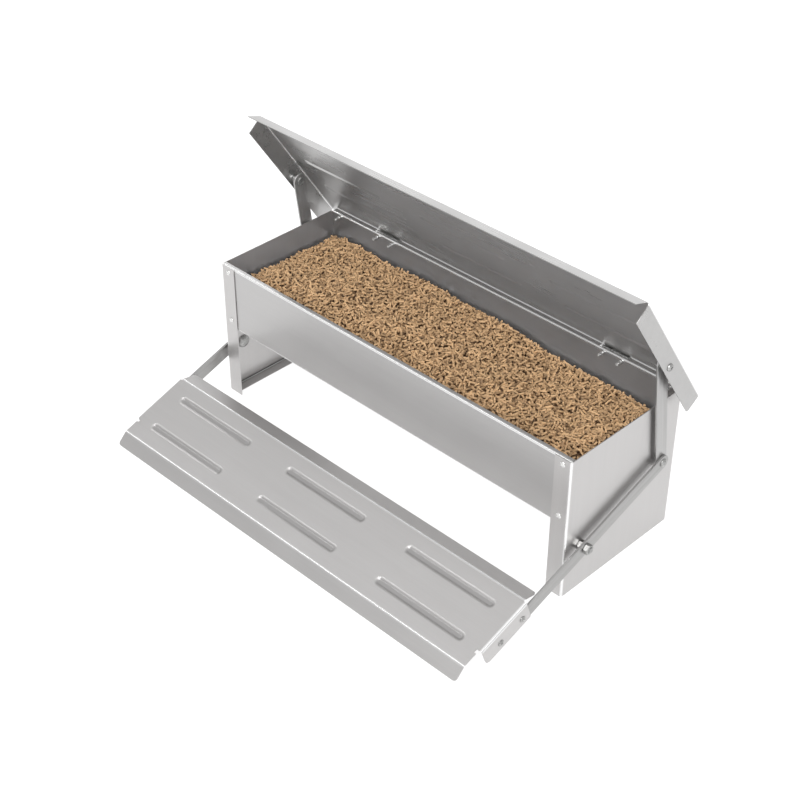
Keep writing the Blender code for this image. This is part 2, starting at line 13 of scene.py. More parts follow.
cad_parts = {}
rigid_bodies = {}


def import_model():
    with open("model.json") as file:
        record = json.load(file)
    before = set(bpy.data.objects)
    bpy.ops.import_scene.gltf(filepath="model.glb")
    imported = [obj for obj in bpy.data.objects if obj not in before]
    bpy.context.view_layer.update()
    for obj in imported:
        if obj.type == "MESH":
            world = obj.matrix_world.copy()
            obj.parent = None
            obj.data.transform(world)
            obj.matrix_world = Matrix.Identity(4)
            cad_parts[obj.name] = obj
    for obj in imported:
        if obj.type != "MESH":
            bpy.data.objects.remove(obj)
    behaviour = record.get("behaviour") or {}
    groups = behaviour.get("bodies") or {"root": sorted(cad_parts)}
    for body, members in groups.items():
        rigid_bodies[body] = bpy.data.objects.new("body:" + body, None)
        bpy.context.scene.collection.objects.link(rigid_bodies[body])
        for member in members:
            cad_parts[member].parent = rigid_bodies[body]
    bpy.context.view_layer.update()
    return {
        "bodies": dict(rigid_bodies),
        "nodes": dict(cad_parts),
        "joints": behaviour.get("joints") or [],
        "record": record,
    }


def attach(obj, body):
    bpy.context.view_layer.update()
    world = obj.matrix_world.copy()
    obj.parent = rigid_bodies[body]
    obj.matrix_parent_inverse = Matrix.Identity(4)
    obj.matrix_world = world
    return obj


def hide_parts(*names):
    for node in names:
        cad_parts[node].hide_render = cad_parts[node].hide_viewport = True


MM = 0.001
M6_HOLE = 3.3
M8_HOLE = 4.3
BAR_EDGE = 0.35
# Fold value at a bend's ends when it has a margin; it carries the painted fold highlight a little onto
# the flat sheet.
BEND_END = 0.6
Point = tuple[float, float]
LOG = logging.getLogger("poultry_feeder")


class Side(Enum):
    """The two ends of the feeder, with the sign of X on each."""

    LEFT = -1.0
    RIGHT = 1.0

    @property
    def label(self) -> str:
        """The side's name as the CAD nodes use it."""
        return self.name.lower()


class Body(Enum):
    """The rigid bodies that pieces ride on."""

    FRAME = "frame"
    LID = "lid_body"
    STEP = "treadle_body"
    LINK_LEFT = "link_left"
    LINK_RIGHT = "link_right"


class Slot(Enum):
    """The record's material slots."""

    SHEET = "aluminium_sheet"
    BAR = "aluminium_bar"
    ZINC = "zinc_steel"


# ---------------------------------------------------------------- node helpers


@dataclass
class NodeBench:
    """A small helper that adds and joins nodes in one tree.

    Args:
        tree: The material's tree or a shader node group.
    """

    tree: bpy.types.NodeTree

    def add(self, kind: str, **values: object) -> bpy.types.Node:
        """Add a node.

        Args:
            kind: The node's type without its ShaderNode prefix.
            values: Attributes of the node.

        Returns:
            The node.
        """
        node = self.tree.nodes.new(f"ShaderNode{kind}")
        for name, value in values.items():
            setattr(node, name, value)
        return node

    def join(self, source: bpy.types.NodeSocket, target: bpy.types.NodeSocket) -> None:
        """Link two sockets."""
        self.tree.links.new(source, target)

    def math(self, kind: str, first: object, second: object) -> object:
        """Add a Math node.

        Args:
            kind: The operation.
            first: A socket or a number.
            second: A socket or a number.

        Returns:
            The output socket.
        """
        node = self.add("Math", operation=kind)
        for socket, value in zip(node.inputs, (first, second)):
            if isinstance(value, bpy.types.NodeSocket):
                self.join(value, socket)
            else:
                socket.default_value = value
        return node.outputs[0]

    def blend(self, factor: object, low: object, high: object) -> object:
        """Mix two colours.

        Args:
            factor: The socket that mixes them.
            low: Colour where the factor is 0, as a socket or three numbers.
            high: Colour where the factor is 1.

        Returns:
            The output socket.
        """
        node = self.add("Mix", data_type="RGBA")
        self.join(factor, node.inputs["Factor"])
        for socket, value in ((node.inputs[6], low), (node.inputs[7], high)):
            if isinstance(value, bpy.types.NodeSocket):
                self.join(value, socket)
            else:
                socket.default_value = (*value, 1.0)
        return node.outputs[2]

    def ramp(self, source: object, low: float, high: float) -> object:
        """Stretch a mask so that low becomes 0 and high becomes 1.

        Args:
            source: The socket to stretch.
            low: Value that becomes 0.
            high: Value that becomes 1.

        Returns:
            The output socket.
        """
        node = self.add("MapRange", interpolation_type="SMOOTHSTEP")
        self.join(source, node.inputs["Value"])
        node.inputs["From Min"].default_value = low
        node.inputs["From Max"].default_value = high
        return node.outputs[0]

    def noise(self, vector: object, scale: float, detail: float, rough: float = 0.5) -> object:
        """Add a noise texture and return its factor.

        Args:
            vector: The socket with the place.
            scale: How fine the noise is.
            detail: How many finer layers it has.
            rough: How strong the finer layers are.

        Returns:
            The output socket.
        """
        node = self.add("TexNoise")
        self.join(vector, node.inputs["Vector"])
        node.inputs["Scale"].default_value = scale
        node.inputs["Detail"].default_value = detail
        node.inputs["Roughness"].default_value = rough
        return node.outputs["Fac"]


def new_group(name: str, inputs: dict[str, object], outputs: Sequence[str]) -> NodeBench:
    """Start a shader node group.

    Args:
        name: The group's name.
        inputs: Name to default value; a tuple makes a vector socket.
        outputs: Names of its number outputs.

    Returns:
        A bench on the group's tree.
    """
    tree = bpy.data.node_groups.new(name, "ShaderNodeTree")
    for label, value in inputs.items():
        kind = "NodeSocketVector" if isinstance(value, tuple) else "NodeSocketFloat"
        socket = tree.interface.new_socket(name=label, in_out="INPUT", socket_type=kind)
        socket.default_value = value
    for label in outputs:
        tree.interface.new_socket(name=label, in_out="OUTPUT", socket_type="NodeSocketFloat")
    return NodeBench(tree)


def rolled_grain_group() -> bpy.types.NodeTree:
    """Build the grain that rolling and brushing leave along one direction.

    Returns:
        A group with Stretch as its input, and Streak and Height as its outputs.
    """
    bench = new_group("rolled_grain", {"Stretch": (20.0, 600.0, 600.0)}, ("Streak", "Height"))
    source = bench.tree.nodes.new("NodeGroupInput")
    sink = bench.tree.nodes.new("NodeGroupOutput")
    place = bench.add("TexCoord")
    scaled = bench.add("VectorMath", operation="MULTIPLY")
    bench.join(place.outputs["Object"], scaled.inputs[0])
    bench.join(source.outputs["Stretch"], scaled.inputs[1])
    fine = bench.noise(scaled.outputs[0], 1.0, 3.0, 0.6)
    broad = bench.noise(scaled.outputs[0], 0.16, 2.0, 0.5)
    mixed = bench.math("ADD", bench.math("MULTIPLY", fine, 0.6), bench.math("MULTIPLY", broad, 0.4))
    bench.join(bench.ramp(mixed, 0.3, 0.7), sink.inputs["Streak"])
    bench.join(fine, sink.inputs["Height"])
    return bench.tree


def handling_group() -> bpy.types.NodeTree:
    """Build the cloudy marks that handling leaves, and the slight waves of thin sheet.

    Returns:
        A group with Size as its input, and Smudge and Wave as its outputs.
    """
    bench = new_group("handling_marks", {"Size": 9.0}, ("Smudge", "Wave"))
    source = bench.tree.nodes.new("NodeGroupInput")
    sink = bench.tree.nodes.new("NodeGroupOutput")
    place = bench.add("TexCoord")
    cloud = bench.add("TexNoise")
    bench.join(place.outputs["Object"], cloud.inputs["Vector"])
    bench.join(source.outputs["Size"], cloud.inputs["Scale"])
    cloud.inputs["Detail"].default_value = 4.0
    cloud.inputs["Distortion"].default_value = 0.4
    wave = bench.noise(place.outputs["Object"], 5.0, 1.0)
    bench.join(bench.ramp(cloud.outputs["Fac"], 0.35, 0.7), sink.inputs["Smudge"])
    bench.join(wave, sink.inputs["Wave"])
    return bench.tree


@dataclass(frozen=True)
class MetalFinish:
    """A bare metal finish.

    Args:
        name: The material's name.
        dark: Colour in the grain's low streaks.
        light: Colour in the grain's high streaks.
        rough: Roughness of the clean surface.
        rough_spread: How much the streaks and marks change it.
        stretch: How fast the grain changes along X, Y and Z.
        grain: Height of the grain in metres.
        wave: Height of the sheet's slow waves in metres.
        burnish: Roughness taken off on folds and edges; where it is set, the folds also get the painted
            highlight colour.
        bare: How far the surface is bare metal and not oxide.
        dull: Share by which the colour of the pressed ribs' floors is darkened, painted shade for their
            hollows.
        worn: Near-white colour painted on the folds as a highlight, standing in for the light that the
            bends catch.
    """

    name: str
    dark: tuple[float, float, float]
    light: tuple[float, float, float]
    rough: float
    rough_spread: float
    stretch: tuple[float, float, float]
    grain: float
    wave: float = 0.0
    burnish: float = 0.0
    dull: float = 0.0
    worn: tuple[float, float, float] = (0.97, 0.97, 0.97)
    bare: float = 0.92

    def make(self, groups: dict[str, bpy.types.NodeTree]) -> bpy.types.Material:
        """Build the material.

        Args:
            groups: The shared shader node groups.

        Returns:
            The material.
        """
        material = bpy.data.materials.new(self.name)
        material.use_nodes = True
        bench = NodeBench(material.node_tree)
        shader = material.node_tree.nodes["Principled BSDF"]
        shader.inputs["Metallic"].default_value = self.bare
        grain = bench.add("Group", node_tree=groups["grain"])
        grain.inputs["Stretch"].default_value = self.stretch
        marks = bench.add("Group", node_tree=groups["marks"])
        colour = bench.blend(grain.outputs["Streak"], self.dark, self.light)
        # Painted highlight: the folds' colour is blended towards near-white, standing in for the bright
        # lines that light draws along the bends.
        if self.burnish:
            edge = bench.add("Attribute", attribute_name="fold")
            colour = bench.blend(edge.outputs["Fac"], colour, self.worn)
        # Painted shade: the floors of the pressed ribs get a darker colour, standing in for the shade in
        # the hollows.
        if self.dull:
            floor = bench.add("Attribute", attribute_name="press")
            painted_rib_shade = tuple(value * (1 - self.dull) for value in self.dark)
            colour = bench.blend(floor.outputs["Fac"], colour, painted_rib_shade)
        bench.join(colour, shader.inputs["Base Color"])
        streak = bench.math("MULTIPLY", grain.outputs["Streak"], self.rough_spread)
        smudge = bench.math("MULTIPLY", marks.outputs["Smudge"], self.rough_spread)
        rough = bench.math("ADD", bench.math("ADD", streak, smudge), self.rough)
        if self.burnish:
            fold = bench.add("Attribute", attribute_name="fold")
            worn = bench.math("MULTIPLY", fold.outputs["Fac"], self.burnish)
            rough = bench.math("SUBTRACT", rough, worn)
        bench.join(rough, shader.inputs["Roughness"])
        relief = bench.add("Bump")
        relief.inputs["Distance"].default_value = self.grain
        bench.join(grain.outputs["Height"], relief.inputs["Height"])
        if self.wave:
            slow = bench.add("Bump")
            slow.inputs["Distance"].default_value = self.wave
            bench.join(marks.outputs["Wave"], slow.inputs["Height"])
            bench.join(slow.outputs["Normal"], relief.inputs["Normal"])
        bench.join(relief.outputs["Normal"], shader.inputs["Normal"])
        return material


@dataclass(frozen=True)
class FeedFinish:
    """Pressed grain feed: tan pellets, each with its own tone and darkened by painted shade deeper in
    the heap, speckled with bran.

    Args:
        name: The material's name.
        light: Colour of the palest pellets.
        dark: Colour of the darkest pellets, also the painted shade of pellets deep in the heap and of
            the bed under them.
        bran: Colour of the specks.
        bounce: Neutral colour that the bare metal round the feed picks up from it.
        rough: Roughness of a pellet.
        gloss: Its specular level.
        speck_scale: How fine the specks are.
        pitted: Height of the pellets' rough surface in metres.
    """

    name: str = "pressed_feed"
    light: tuple[float, float, float] = (0.78, 0.51, 0.275)
    dark: tuple[float, float, float] = (0.09, 0.04, 0.015)
    bran: tuple[float, float, float] = (0.12, 0.06, 0.03)
    bounce: tuple[float, float, float] = (0.54, 0.55, 0.57)
    rough: float = 0.55
    gloss: float = 0.4
    speck_scale: float = 900.0
    pitted: float = 0.0004

    def make(self) -> bpy.types.Material:
        """Build the material.

        Returns:
            The material.
        """
        material = bpy.data.materials.new(self.name)
        material.use_nodes = True
        bench = NodeBench(material.node_tree)
        shader = material.node_tree.nodes["Principled BSDF"]
        shade = bench.add("Attribute", attribute_name="shade")
        place = bench.add("TexCoord")
        speck = bench.noise(place.outputs["Object"], self.speck_scale, 3.0, 0.7)
        body = bench.blend(shade.outputs["Fac"], self.dark, self.light)
        colour = bench.blend(bench.ramp(speck, 0.62, 0.75), body, self.bran)
        path = bench.add("LightPath")
        seen = bench.blend(path.outputs["Is Glossy Ray"], colour, self.bounce)
        bench.join(seen, shader.inputs["Base Color"])
        shader.inputs["Roughness"].default_value = self.rough
        shader.inputs["Specular IOR Level"].default_value = self.gloss
        relief = bench.add("Bump")
        relief.inputs["Distance"].default_value = self.pitted
        bench.join(speck, relief.inputs["Height"])
        bench.join(relief.outputs["Normal"], shader.inputs["Normal"])
        return material


@dataclass
class FinishRack:
    """Every finish of the feeder, made once."""

    made: dict[str, bpy.types.Material] = field(default_factory=dict)

    def prepare(self) -> None:
        """Make the shared groups and the materials."""
        groups = {"grain": rolled_grain_group(), "marks": handling_group()}
        across = (14.0, 500.0, 500.0)
        upright = (500.0, 500.0, 14.0)
        sheet = {"dark": (0.60, 0.588, 0.583), "light": (0.62, 0.608, 0.603)}
        # Painted shade: the trough takes a darker copy of the sheet colour, so that its walls look
        # darker than the end panels under the same lights.
        trough_painted_darker = {"dark": (0.535, 0.528, 0.525), "light": (0.552, 0.545, 0.542)}
        lid = {"dark": (0.52, 0.515, 0.51), "light": (0.56, 0.555, 0.55)}
        # Painted shade: the arms take a darker copy of the bar colour, though they are the same bar
        # stock as the link bars.
        arm = {"dark": (0.40, 0.395, 0.39), "light": (0.48, 0.475, 0.47)}
        bar = {"dark": (0.46, 0.455, 0.45), "light": (0.55, 0.545, 0.54)}
        zinc = {"dark": (0.26, 0.26, 0.255), "light": (0.60, 0.60, 0.59)}
        rivet = {"dark": (0.74, 0.74, 0.73), "light": (0.92, 0.92, 0.91)}
        finishes = (
            MetalFinish("trough_sheet", **trough_painted_darker, rough=0.30, rough_spread=0.03,
                        stretch=across, grain=1e-6, wave=3e-4, burnish=0.12),
            MetalFinish("panel_sheet", **sheet, rough=0.32, rough_spread=0.03,
                        stretch=upright, grain=8e-7, wave=2e-4, burnish=0.12),
            MetalFinish("lid_sheet", **lid, rough=0.25, rough_spread=0.06,
                        stretch=across, grain=2e-6, wave=3e-4, burnish=0.10),
            MetalFinish("step_sheet", **sheet, rough=0.32, rough_spread=0.03,
                        stretch=across, grain=1e-6, wave=2e-4, burnish=0.10, dull=0.28),
            MetalFinish("flat_bar", **arm, rough=0.28, rough_spread=0.08,
                        stretch=(500.0, 14.0, 500.0), grain=5e-6),
            MetalFinish("link_flat_bar", **bar, rough=0.28, rough_spread=0.08,
                        stretch=(500.0, 500.0, 14.0), grain=5e-6),
            MetalFinish("rivet_metal", **rivet, rough=0.20, rough_spread=0.08,
                        stretch=(400.0, 400.0, 400.0), grain=5e-6),
            MetalFinish("zinc_plate", **zinc, rough=0.22, rough_spread=0.12,
                        stretch=(400.0, 400.0, 400.0), grain=8e-6),
        )
        for finish in finishes:
            self.made[finish.name] = finish.make(groups)
        feed = FeedFinish()
        self.made[feed.name] = feed.make()

    def __getitem__(self, name: str) -> bpy.types.Material:
        """A finish by its name."""
        return self.made[name]


# ---------------------------------------------------------------- mesh helpers


def finished_mesh(name: str, form: bmesh.types.BMesh) -> bpy.types.Mesh:
    """Turn a form into a mesh and let the form go.

    Args:
        name: The mesh's name.
        form: The form, which is used up.

    Returns:
        The mesh.
    """
    mesh = bpy.data.meshes.new(name)
    form.to_mesh(mesh)
    form.free()
    return mesh


def stand(name: str, data: bpy.types.ID) -> bpy.types.Object:
    """Stand an object with the given data in the scene.

    Args:
        name: The object's name.
        data: Its mesh, curve, light or camera.

    Returns:
        The object.
    """
    obj = bpy.data.objects.new(name, data)
    bpy.context.scene.collection.objects.link(obj)
    return obj


def filleted(
    corners: Sequence[Point], radius: float, margin: float = 0.0, steps: int = 5
) -> list[tuple[Point, float]]:
    """Round the corners of a folded profile.

    Args:
        corners: The profile's corners, in order.
        radius: Bend radius at the sheet's middle.
        margin: How far the polish and the painted highlight of a bend reach onto the flat sheet beside
            it.
        steps: Straight pieces in each bend.

    Returns:
        Points, each with 1 where it lies in a bend and 0 elsewhere.
    """
    line = [(tuple(corners[0]), 0.0)]
    for before, here, after in zip(corners, corners[1:], corners[2:]):
        corner = Vector(here)
        back = (Vector(before) - corner).normalized()
        ahead = (Vector(after) - corner).normalized()
        half = math.acos(max(-1.0, min(1.0, back.dot(ahead)))) / 2
        reach = radius / math.tan(half)
        centre = corner + (back + ahead).normalized() * (radius / math.sin(half))
        start = corner + back * reach - centre
        end = corner + ahead * reach - centre
        sweep = math.copysign(math.pi - 2 * half, start.cross(end))
        side = BEND_END if margin else 0.0
        if margin:
            line.append((tuple(corner + back * (reach + margin)), 0.0))
        for step in range(steps + 1):
            angle = sweep * step / steps
            spoke = Matrix.Rotation(angle, 2) @ start
            line.append((tuple(centre + spoke), 1.0 if 0 < step < steps else side))
        if margin:
            line.append((tuple(corner + ahead * (reach + margin)), 0.0))
    line.append((tuple(corners[-1]), 0.0))
    return line


def stepped_edge(line: list[tuple[Point, float]], radius: float) -> list[tuple[Point, float]]:
    """Add points near a profile's free end, so that its corners can be rounded.

    Args:
        line: The profile, from its free end.
        radius: How far from the end the points reach.

    Returns:
        The profile with the extra points.
    """
    first, second = Vector(line[0][0]), Vector(line[1][0])
    along = (second - first).normalized()
    extra = [(tuple(first + along * radius * t), 0.0) for t in (0.04, 0.15, 0.35, 0.65, 1.0)]
    return [line[0], *extra, *line[1:]]


def even_lines(low: float, high: float, spacing: float) -> list[float]:
    """Evenly spaced values from low to high."""
    count = max(1, math.ceil((high - low) / spacing))
    return [low + (high - low) * step / count for step in range(count + 1)]


def merged_lines(values: Sequence[float], closest: float = 0.05) -> list[float]:
    """Sort grid lines and drop those that nearly coincide.

    Args:
        values: The lines.
        closest: The least distance between two lines.

    Returns:
        The lines that stay, in order.
    """
    kept: list[float] = []
    for value in sorted(values):
        if not kept or value - kept[-1] > closest:
            kept.append(value)
    return kept


def grid_mesh(
    name: str,
    rows: int,
    columns: int,
    place: Callable[[int, int], tuple[float, float, float]],
    fold: Callable[[int, int], float],
    keep: Callable[[int, int], bool] = lambda row, column: True,
    press: Callable[[int, int], float] = lambda row, column: 0.0,
) -> bpy.types.Mesh:
    """Build an open surface from a grid.

    Args:
        name: The mesh's name.
        rows: Lines one way.
        columns: Lines the other way.
        place: The point of a row and column, in millimetres.
        fold: How far that point lies in a bend, from 0 to 1.
        keep: Whether the cell that starts there is part of the sheet.
        press: How far that point lies on the floor of a pressed rib, from 0 to 1.

    Returns:
        The mesh, in metres.
    """
    form = bmesh.new()
    layer = form.verts.layers.float.new("fold")
    pressed = form.verts.layers.float.new("press")
    verts = {}
    for row in range(rows):
        for column in range(columns):
            vert = form.verts.new(Vector(place(row, column)) * MM)
            vert[layer] = fold(row, column)
            vert[pressed] = press(row, column)
            verts[row, column] = vert
    for row in range(rows - 1):
        for column in range(columns - 1):
            if keep(row, column):
                form.faces.new(
                    (
                        verts[row, column],
                        verts[row, column + 1],
                        verts[row + 1, column + 1],
                        verts[row + 1, column],
                    )
                )
    loose = [vert for vert in form.verts if not vert.link_faces]
    bmesh.ops.delete(form, geom=loose, context="VERTS")
    return finished_mesh(name, form)


def turned_mesh(name: str, profile: Sequence[Point], steps: int = 32) -> bpy.types.Mesh:
    """Turn a closed-off profile of (radius, height) in millimetres about its axis.

    Args:
        name: The mesh's name.
        profile: From the top of the axis to the bottom.
        steps: Sides round the axis.

    Returns:
        The mesh, in metres, with its axis on Z.
    """
    form = bmesh.new()
    verts = [form.verts.new(Vector((r, 0.0, z)) * MM) for r, z in profile]
    edges = [form.edges.new(pair) for pair in zip(verts, verts[1:])]
    bmesh.ops.spin(
        form,
        geom=verts + edges,
        cent=(0, 0, 0),
        axis=(0, 0, 1),
        angle=math.tau,
        steps=steps,
        use_merge=True,
    )
    bmesh.ops.remove_doubles(form, verts=form.verts, dist=1e-7)
    bmesh.ops.recalc_face_normals(form, faces=form.faces)
    return finished_mesh(name, form)


def flat_mesh(
    name: str, rings: Sequence[Sequence[Point]], thickness: float, ease: float
) -> bpy.types.Mesh:
    """Make a flat bar from its outline and holes, with eased edges.

    Args:
        name: The mesh's name.
        rings: Outline and holes in depth and height, in millimetres.
        thickness: The bar's thickness.
        ease: Radius of its edges.

    Returns:
        The mesh, in metres, with its thickness along X.
    """
    curve = bpy.data.curves.new(name, "CURVE")
    curve.dimensions = "2D"
    curve.fill_mode = "BOTH"
    curve.extrude = (thickness / 2 - ease) * MM
    curve.bevel_depth = ease * MM
    curve.bevel_resolution = 2
    curve.offset = -ease * MM
    for ring in rings:
        spline = curve.splines.new("POLY")
        spline.points.add(len(ring) - 1)
        for point, (u, v) in zip(spline.points, ring):
            point.co = (u * MM, v * MM, 0.0, 1.0)
        spline.use_cyclic_u = True
    drawing = stand(f"{name}_outline", curve)
    bpy.context.view_layer.update()
    graph = bpy.context.evaluated_depsgraph_get()
    mesh = bpy.data.meshes.new_from_object(drawing.evaluated_get(graph))
    bpy.data.objects.remove(drawing)
    form = bmesh.new()
    form.from_mesh(mesh)
    bmesh.ops.remove_doubles(form, verts=form.verts, dist=1e-6)
    bmesh.ops.recalc_face_normals(form, faces=form.faces)
    across = Matrix(((0, 0, 1), (1, 0, 0), (0, 1, 0))).to_4x4()
    bmesh.ops.transform(form, matrix=across, verts=form.verts)
    form.to_mesh(mesh)
    form.free()
    return mesh


def ring_points(centre: Point, radius: float, sides: int = 32) -> list[Point]:
    """Points round a circle.

    Args:
        centre: The circle's middle.
        radius: The radius.
        sides: How many points make it round.

    Returns:
        The points.
    """
    return [
        (
            centre[0] + radius * math.cos(math.tau * step / sides),
            centre[1] + radius * math.sin(math.tau * step / sides),
        )
        for step in range(sides)
    ]


def bar_points(first: Point, second: Point, radius: float, sides: int = 18) -> list[Point]:
    """The outline of a straight bar with full-round ends.

    Args:
        first: Middle of one end.
        second: Middle of the other end.
        radius: The radius.
        sides: How many points make it round.

    Returns:
        The points, in order.
    """
    along = math.atan2(second[1] - first[1], second[0] - first[0])
    points = []
    for centre, start in ((second, along - math.pi / 2), (first, along + math.pi / 2)):
        for step in range(sides + 1):
            angle = start + math.pi * step / sides
            points.append(
                (
                    centre[0] + radius * math.cos(angle),
                    centre[1] + radius * math.sin(angle),
                )
            )
    return points


def apply_modifiers(obj: bpy.types.Object) -> None:
    """Replace an object's mesh with what its modifiers make.

    Args:
        obj: The object.
    """
    bpy.context.view_layer.update()
    graph = bpy.context.evaluated_depsgraph_get()
    mesh = bpy.data.meshes.new_from_object(obj.evaluated_get(graph))
    obj.modifiers.clear()
    obj.data = mesh


def shade(mesh: bpy.types.Mesh, degrees: float = 32.0) -> None:
    """Shade smooth, with sharp edges past an angle."""
    mesh.shade_smooth()
    mesh.set_sharp_from_angle(angle=math.radians(degrees))


@dataclass
class Shop:
    """Places finished pieces on the feeder.

    Args:
        rack: The finishes.
        places: The matrix that each body's own drawing is placed by.
    """

    rack: FinishRack
    places: dict[Body, Matrix]

    def put(
        self,
        name: str,
        mesh: bpy.types.Mesh,
        finish: str,
        body: Body,
        stands_for: Sequence[str] = (),
        matrix: Matrix | None = None,
        sheet: float = 0.0,
        cutters: Sequence[bpy.types.Object] = (),
    ) -> bpy.types.Object:
        """Place one piece.

        Args:
            name: The piece's name.
            mesh: Its mesh, in its body's own drawing.
            finish: The finish's name.
            body: The body that it rides on.
            stands_for: The CAD nodes that it replaces.
            matrix: Where it sits in its body's drawing.
            sheet: The sheet's thickness in millimetres, for an open surface.
            cutters: Solids to cut away, in the same drawing; they are used up.

        Returns:
            The piece.
        """
        obj = stand(name, mesh)
        obj.matrix_world = self.places[body] @ (matrix or Matrix.Identity(4))
        if sheet:
            solid = obj.modifiers.new("sheet", "SOLIDIFY")
            solid.thickness = sheet * MM
            solid.offset = 0.0
            solid.use_even_offset = True
        for cutter in cutters:
            cutter.matrix_world = obj.matrix_world
            cut = obj.modifiers.new("cut", "BOOLEAN")
            cut.object = cutter
        if obj.modifiers:
            apply_modifiers(obj)
        for cutter in cutters:
            bpy.data.objects.remove(cutter)
        obj.data.materials.clear()
        obj.data.materials.append(self.rack[finish])
        shade(obj.data)
        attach(obj, body.value)
        if stands_for:
            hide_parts(*stands_for)
        LOG.info("%s: %d faces on %s", name, len(obj.data.polygons), body.value)
        return obj


def rounded_cutter(low: Point, high: Point, radius: float, floor: float, top: float) -> bpy.types.Object:
    """Make an upright cutter with rounded corners, in millimetres.

    Args:
        low: Its lowest X and Y.
        high: Its highest X and Y.
        radius: Its corners' radius.
        floor: Its lowest Z.
        top: Its highest Z.

    Returns:
        The cutter.
    """
    form = bmesh.new()
    bmesh.ops.create_cube(form, size=1.0)
    size = Vector((high[0] - low[0], high[1] - low[1], top - floor))
    middle = Vector(((high[0] + low[0]) / 2, (high[1] + low[1]) / 2, (top + floor) / 2))
    bmesh.ops.scale(form, vec=size * MM, verts=form.verts)
    bmesh.ops.translate(form, vec=middle * MM, verts=form.verts)
    upright = [e for e in form.edges if abs(e.verts[0].co.z - e.verts[1].co.z) > MM]
    bmesh.ops.bevel(
        form, geom=upright, offset=radius * MM, segments=5, profile=0.5, affect="EDGES"
    )
    cutter = stand("cutter", finished_mesh("cutter", form))
    cutter.hide_render = True
    return cutter


def hole_cutter(
    centres: Sequence[Vector], axis: Vector, radius: float, length: float = 6.0
) -> bpy.types.Object:
    """Make one cutter that drills a row of round holes, in millimetres.

    Args:
        centres: The holes' centres.
        axis: The direction that they run in.
        radius: Their radius.
        length: How long each drill is.

    Returns:
        The cutter.
    """
    form = bmesh.new()
    turn = Vector((0, 0, 1)).rotation_difference(axis)
    for centre in centres:
        bmesh.ops.create_cone(
            form,
            cap_ends=True,
            segments=24,
            radius1=radius * MM,
            radius2=radius * MM,
            depth=length * MM,
            matrix=Matrix.LocRotScale(centre * MM, turn, None),
        )
    drill = stand("drill", finished_mesh("drill", form))
    drill.hide_render = True
    return drill


# ---------------------------------------------------------------- fasteners


@dataclass(frozen=True)
class BlindRivet:
    """A pop rivet: a domed head with a mandrel hole, and a tail with an open end.

    Args:
        head: Radius of the head.
        shank: Radius of the shank.
        tail: Radius of the upset tail.
        tail_length: How far the tail sticks out behind the sheets.
    """

    head: float = 3.9
    shank: float = 1.95
    tail: float = 2.5
    tail_length: float = 8.0

    def mesh(self, name: str, stack: float) -> bpy.types.Mesh:
        """Build it with its axis on Z and its head's seat at zero.

        Args:
            name: The mesh's name.
            stack: Thickness of the sheets that it holds.

        Returns:
            The mesh.
        """
        seat = 0.05
        behind = -(stack + 0.3)
        end = behind - self.tail_length
        profile = [
            (0.0, 0.35),
            (0.95, 0.35),
            (1.05, 1.25),
            (1.5, 1.42),
            (2.4, 1.25),
            (3.3, 0.8),
            (self.head - 0.1, 0.4),
            (self.head, 0.2),
            (self.head - 0.1, seat),
            (self.shank, seat),
            (self.shank, behind),
            (self.tail - 0.2, behind - 0.15),
            (self.tail, behind - 0.8),
            (self.tail, behind - 2.6),
            (self.shank + 0.1, behind - 3.8),
            (self.shank + 0.1, end + 1.3),
            (self.shank + 0.35, end + 0.7),
            (self.shank + 0.2, end),
            (1.25, end),
            (1.1, end + 0.5),
            (1.1, end + 1.6),
            (0.0, end + 1.6),
        ]
        return turned_mesh(name, profile, 24)


@dataclass(frozen=True)
class DomeRivet:
    """A solid rivet or bolt head over a plain shank.

    Args:
        head: Radius of the head.
        height: Height of the head.
        shank: Radius of the shank.
        length: Length under the head.
        tail: Radius of the set tail, or 0 for none.
        tail_length: Thickness of the set tail.
        dimple: Radius of a dimple in the head, or 0 for none.
    """

    head: float
    height: float
    shank: float
    length: float
    tail: float = 0.0
    tail_length: float = 0.0
    dimple: float = 0.0

    def mesh(self, name: str) -> bpy.types.Mesh:
        """Build it with its axis on Z and its head's seat at zero.

        Args:
            name: The mesh's name.

        Returns:
            The mesh.
        """
        seat = 0.05
        profile: list[Point] = []
        if self.dimple:
            floor = self.height * 0.45
            profile += [(0.0, floor), (self.dimple * 0.8, floor + 0.1)]
            profile += [(self.dimple, self.height * 0.97)]
        else:
            profile += [(0.0, self.height)]
        for step in range(1, 9):
            angle = math.pi / 2 * step / 8
            radius = self.head * math.sin(angle)
            if radius > self.dimple:
                profile.append((radius, seat + self.height * (0.18 + 0.82 * math.cos(angle))))
        profile += [(self.head, seat + 0.1), (self.head - 0.15, seat), (self.shank, seat)]
        profile.append((self.shank, -self.length))
        if self.tail:
            end = -self.length - self.tail_length
            profile += [(self.tail - 0.2, -self.length), (self.tail, -self.length - 0.2)]
            profile += [(self.tail, end + 0.5), (self.tail - 0.8, end)]
            profile.append((0.0, end))
        else:
            profile += [(0.0, -self.length)]
        return turned_mesh(name, profile)


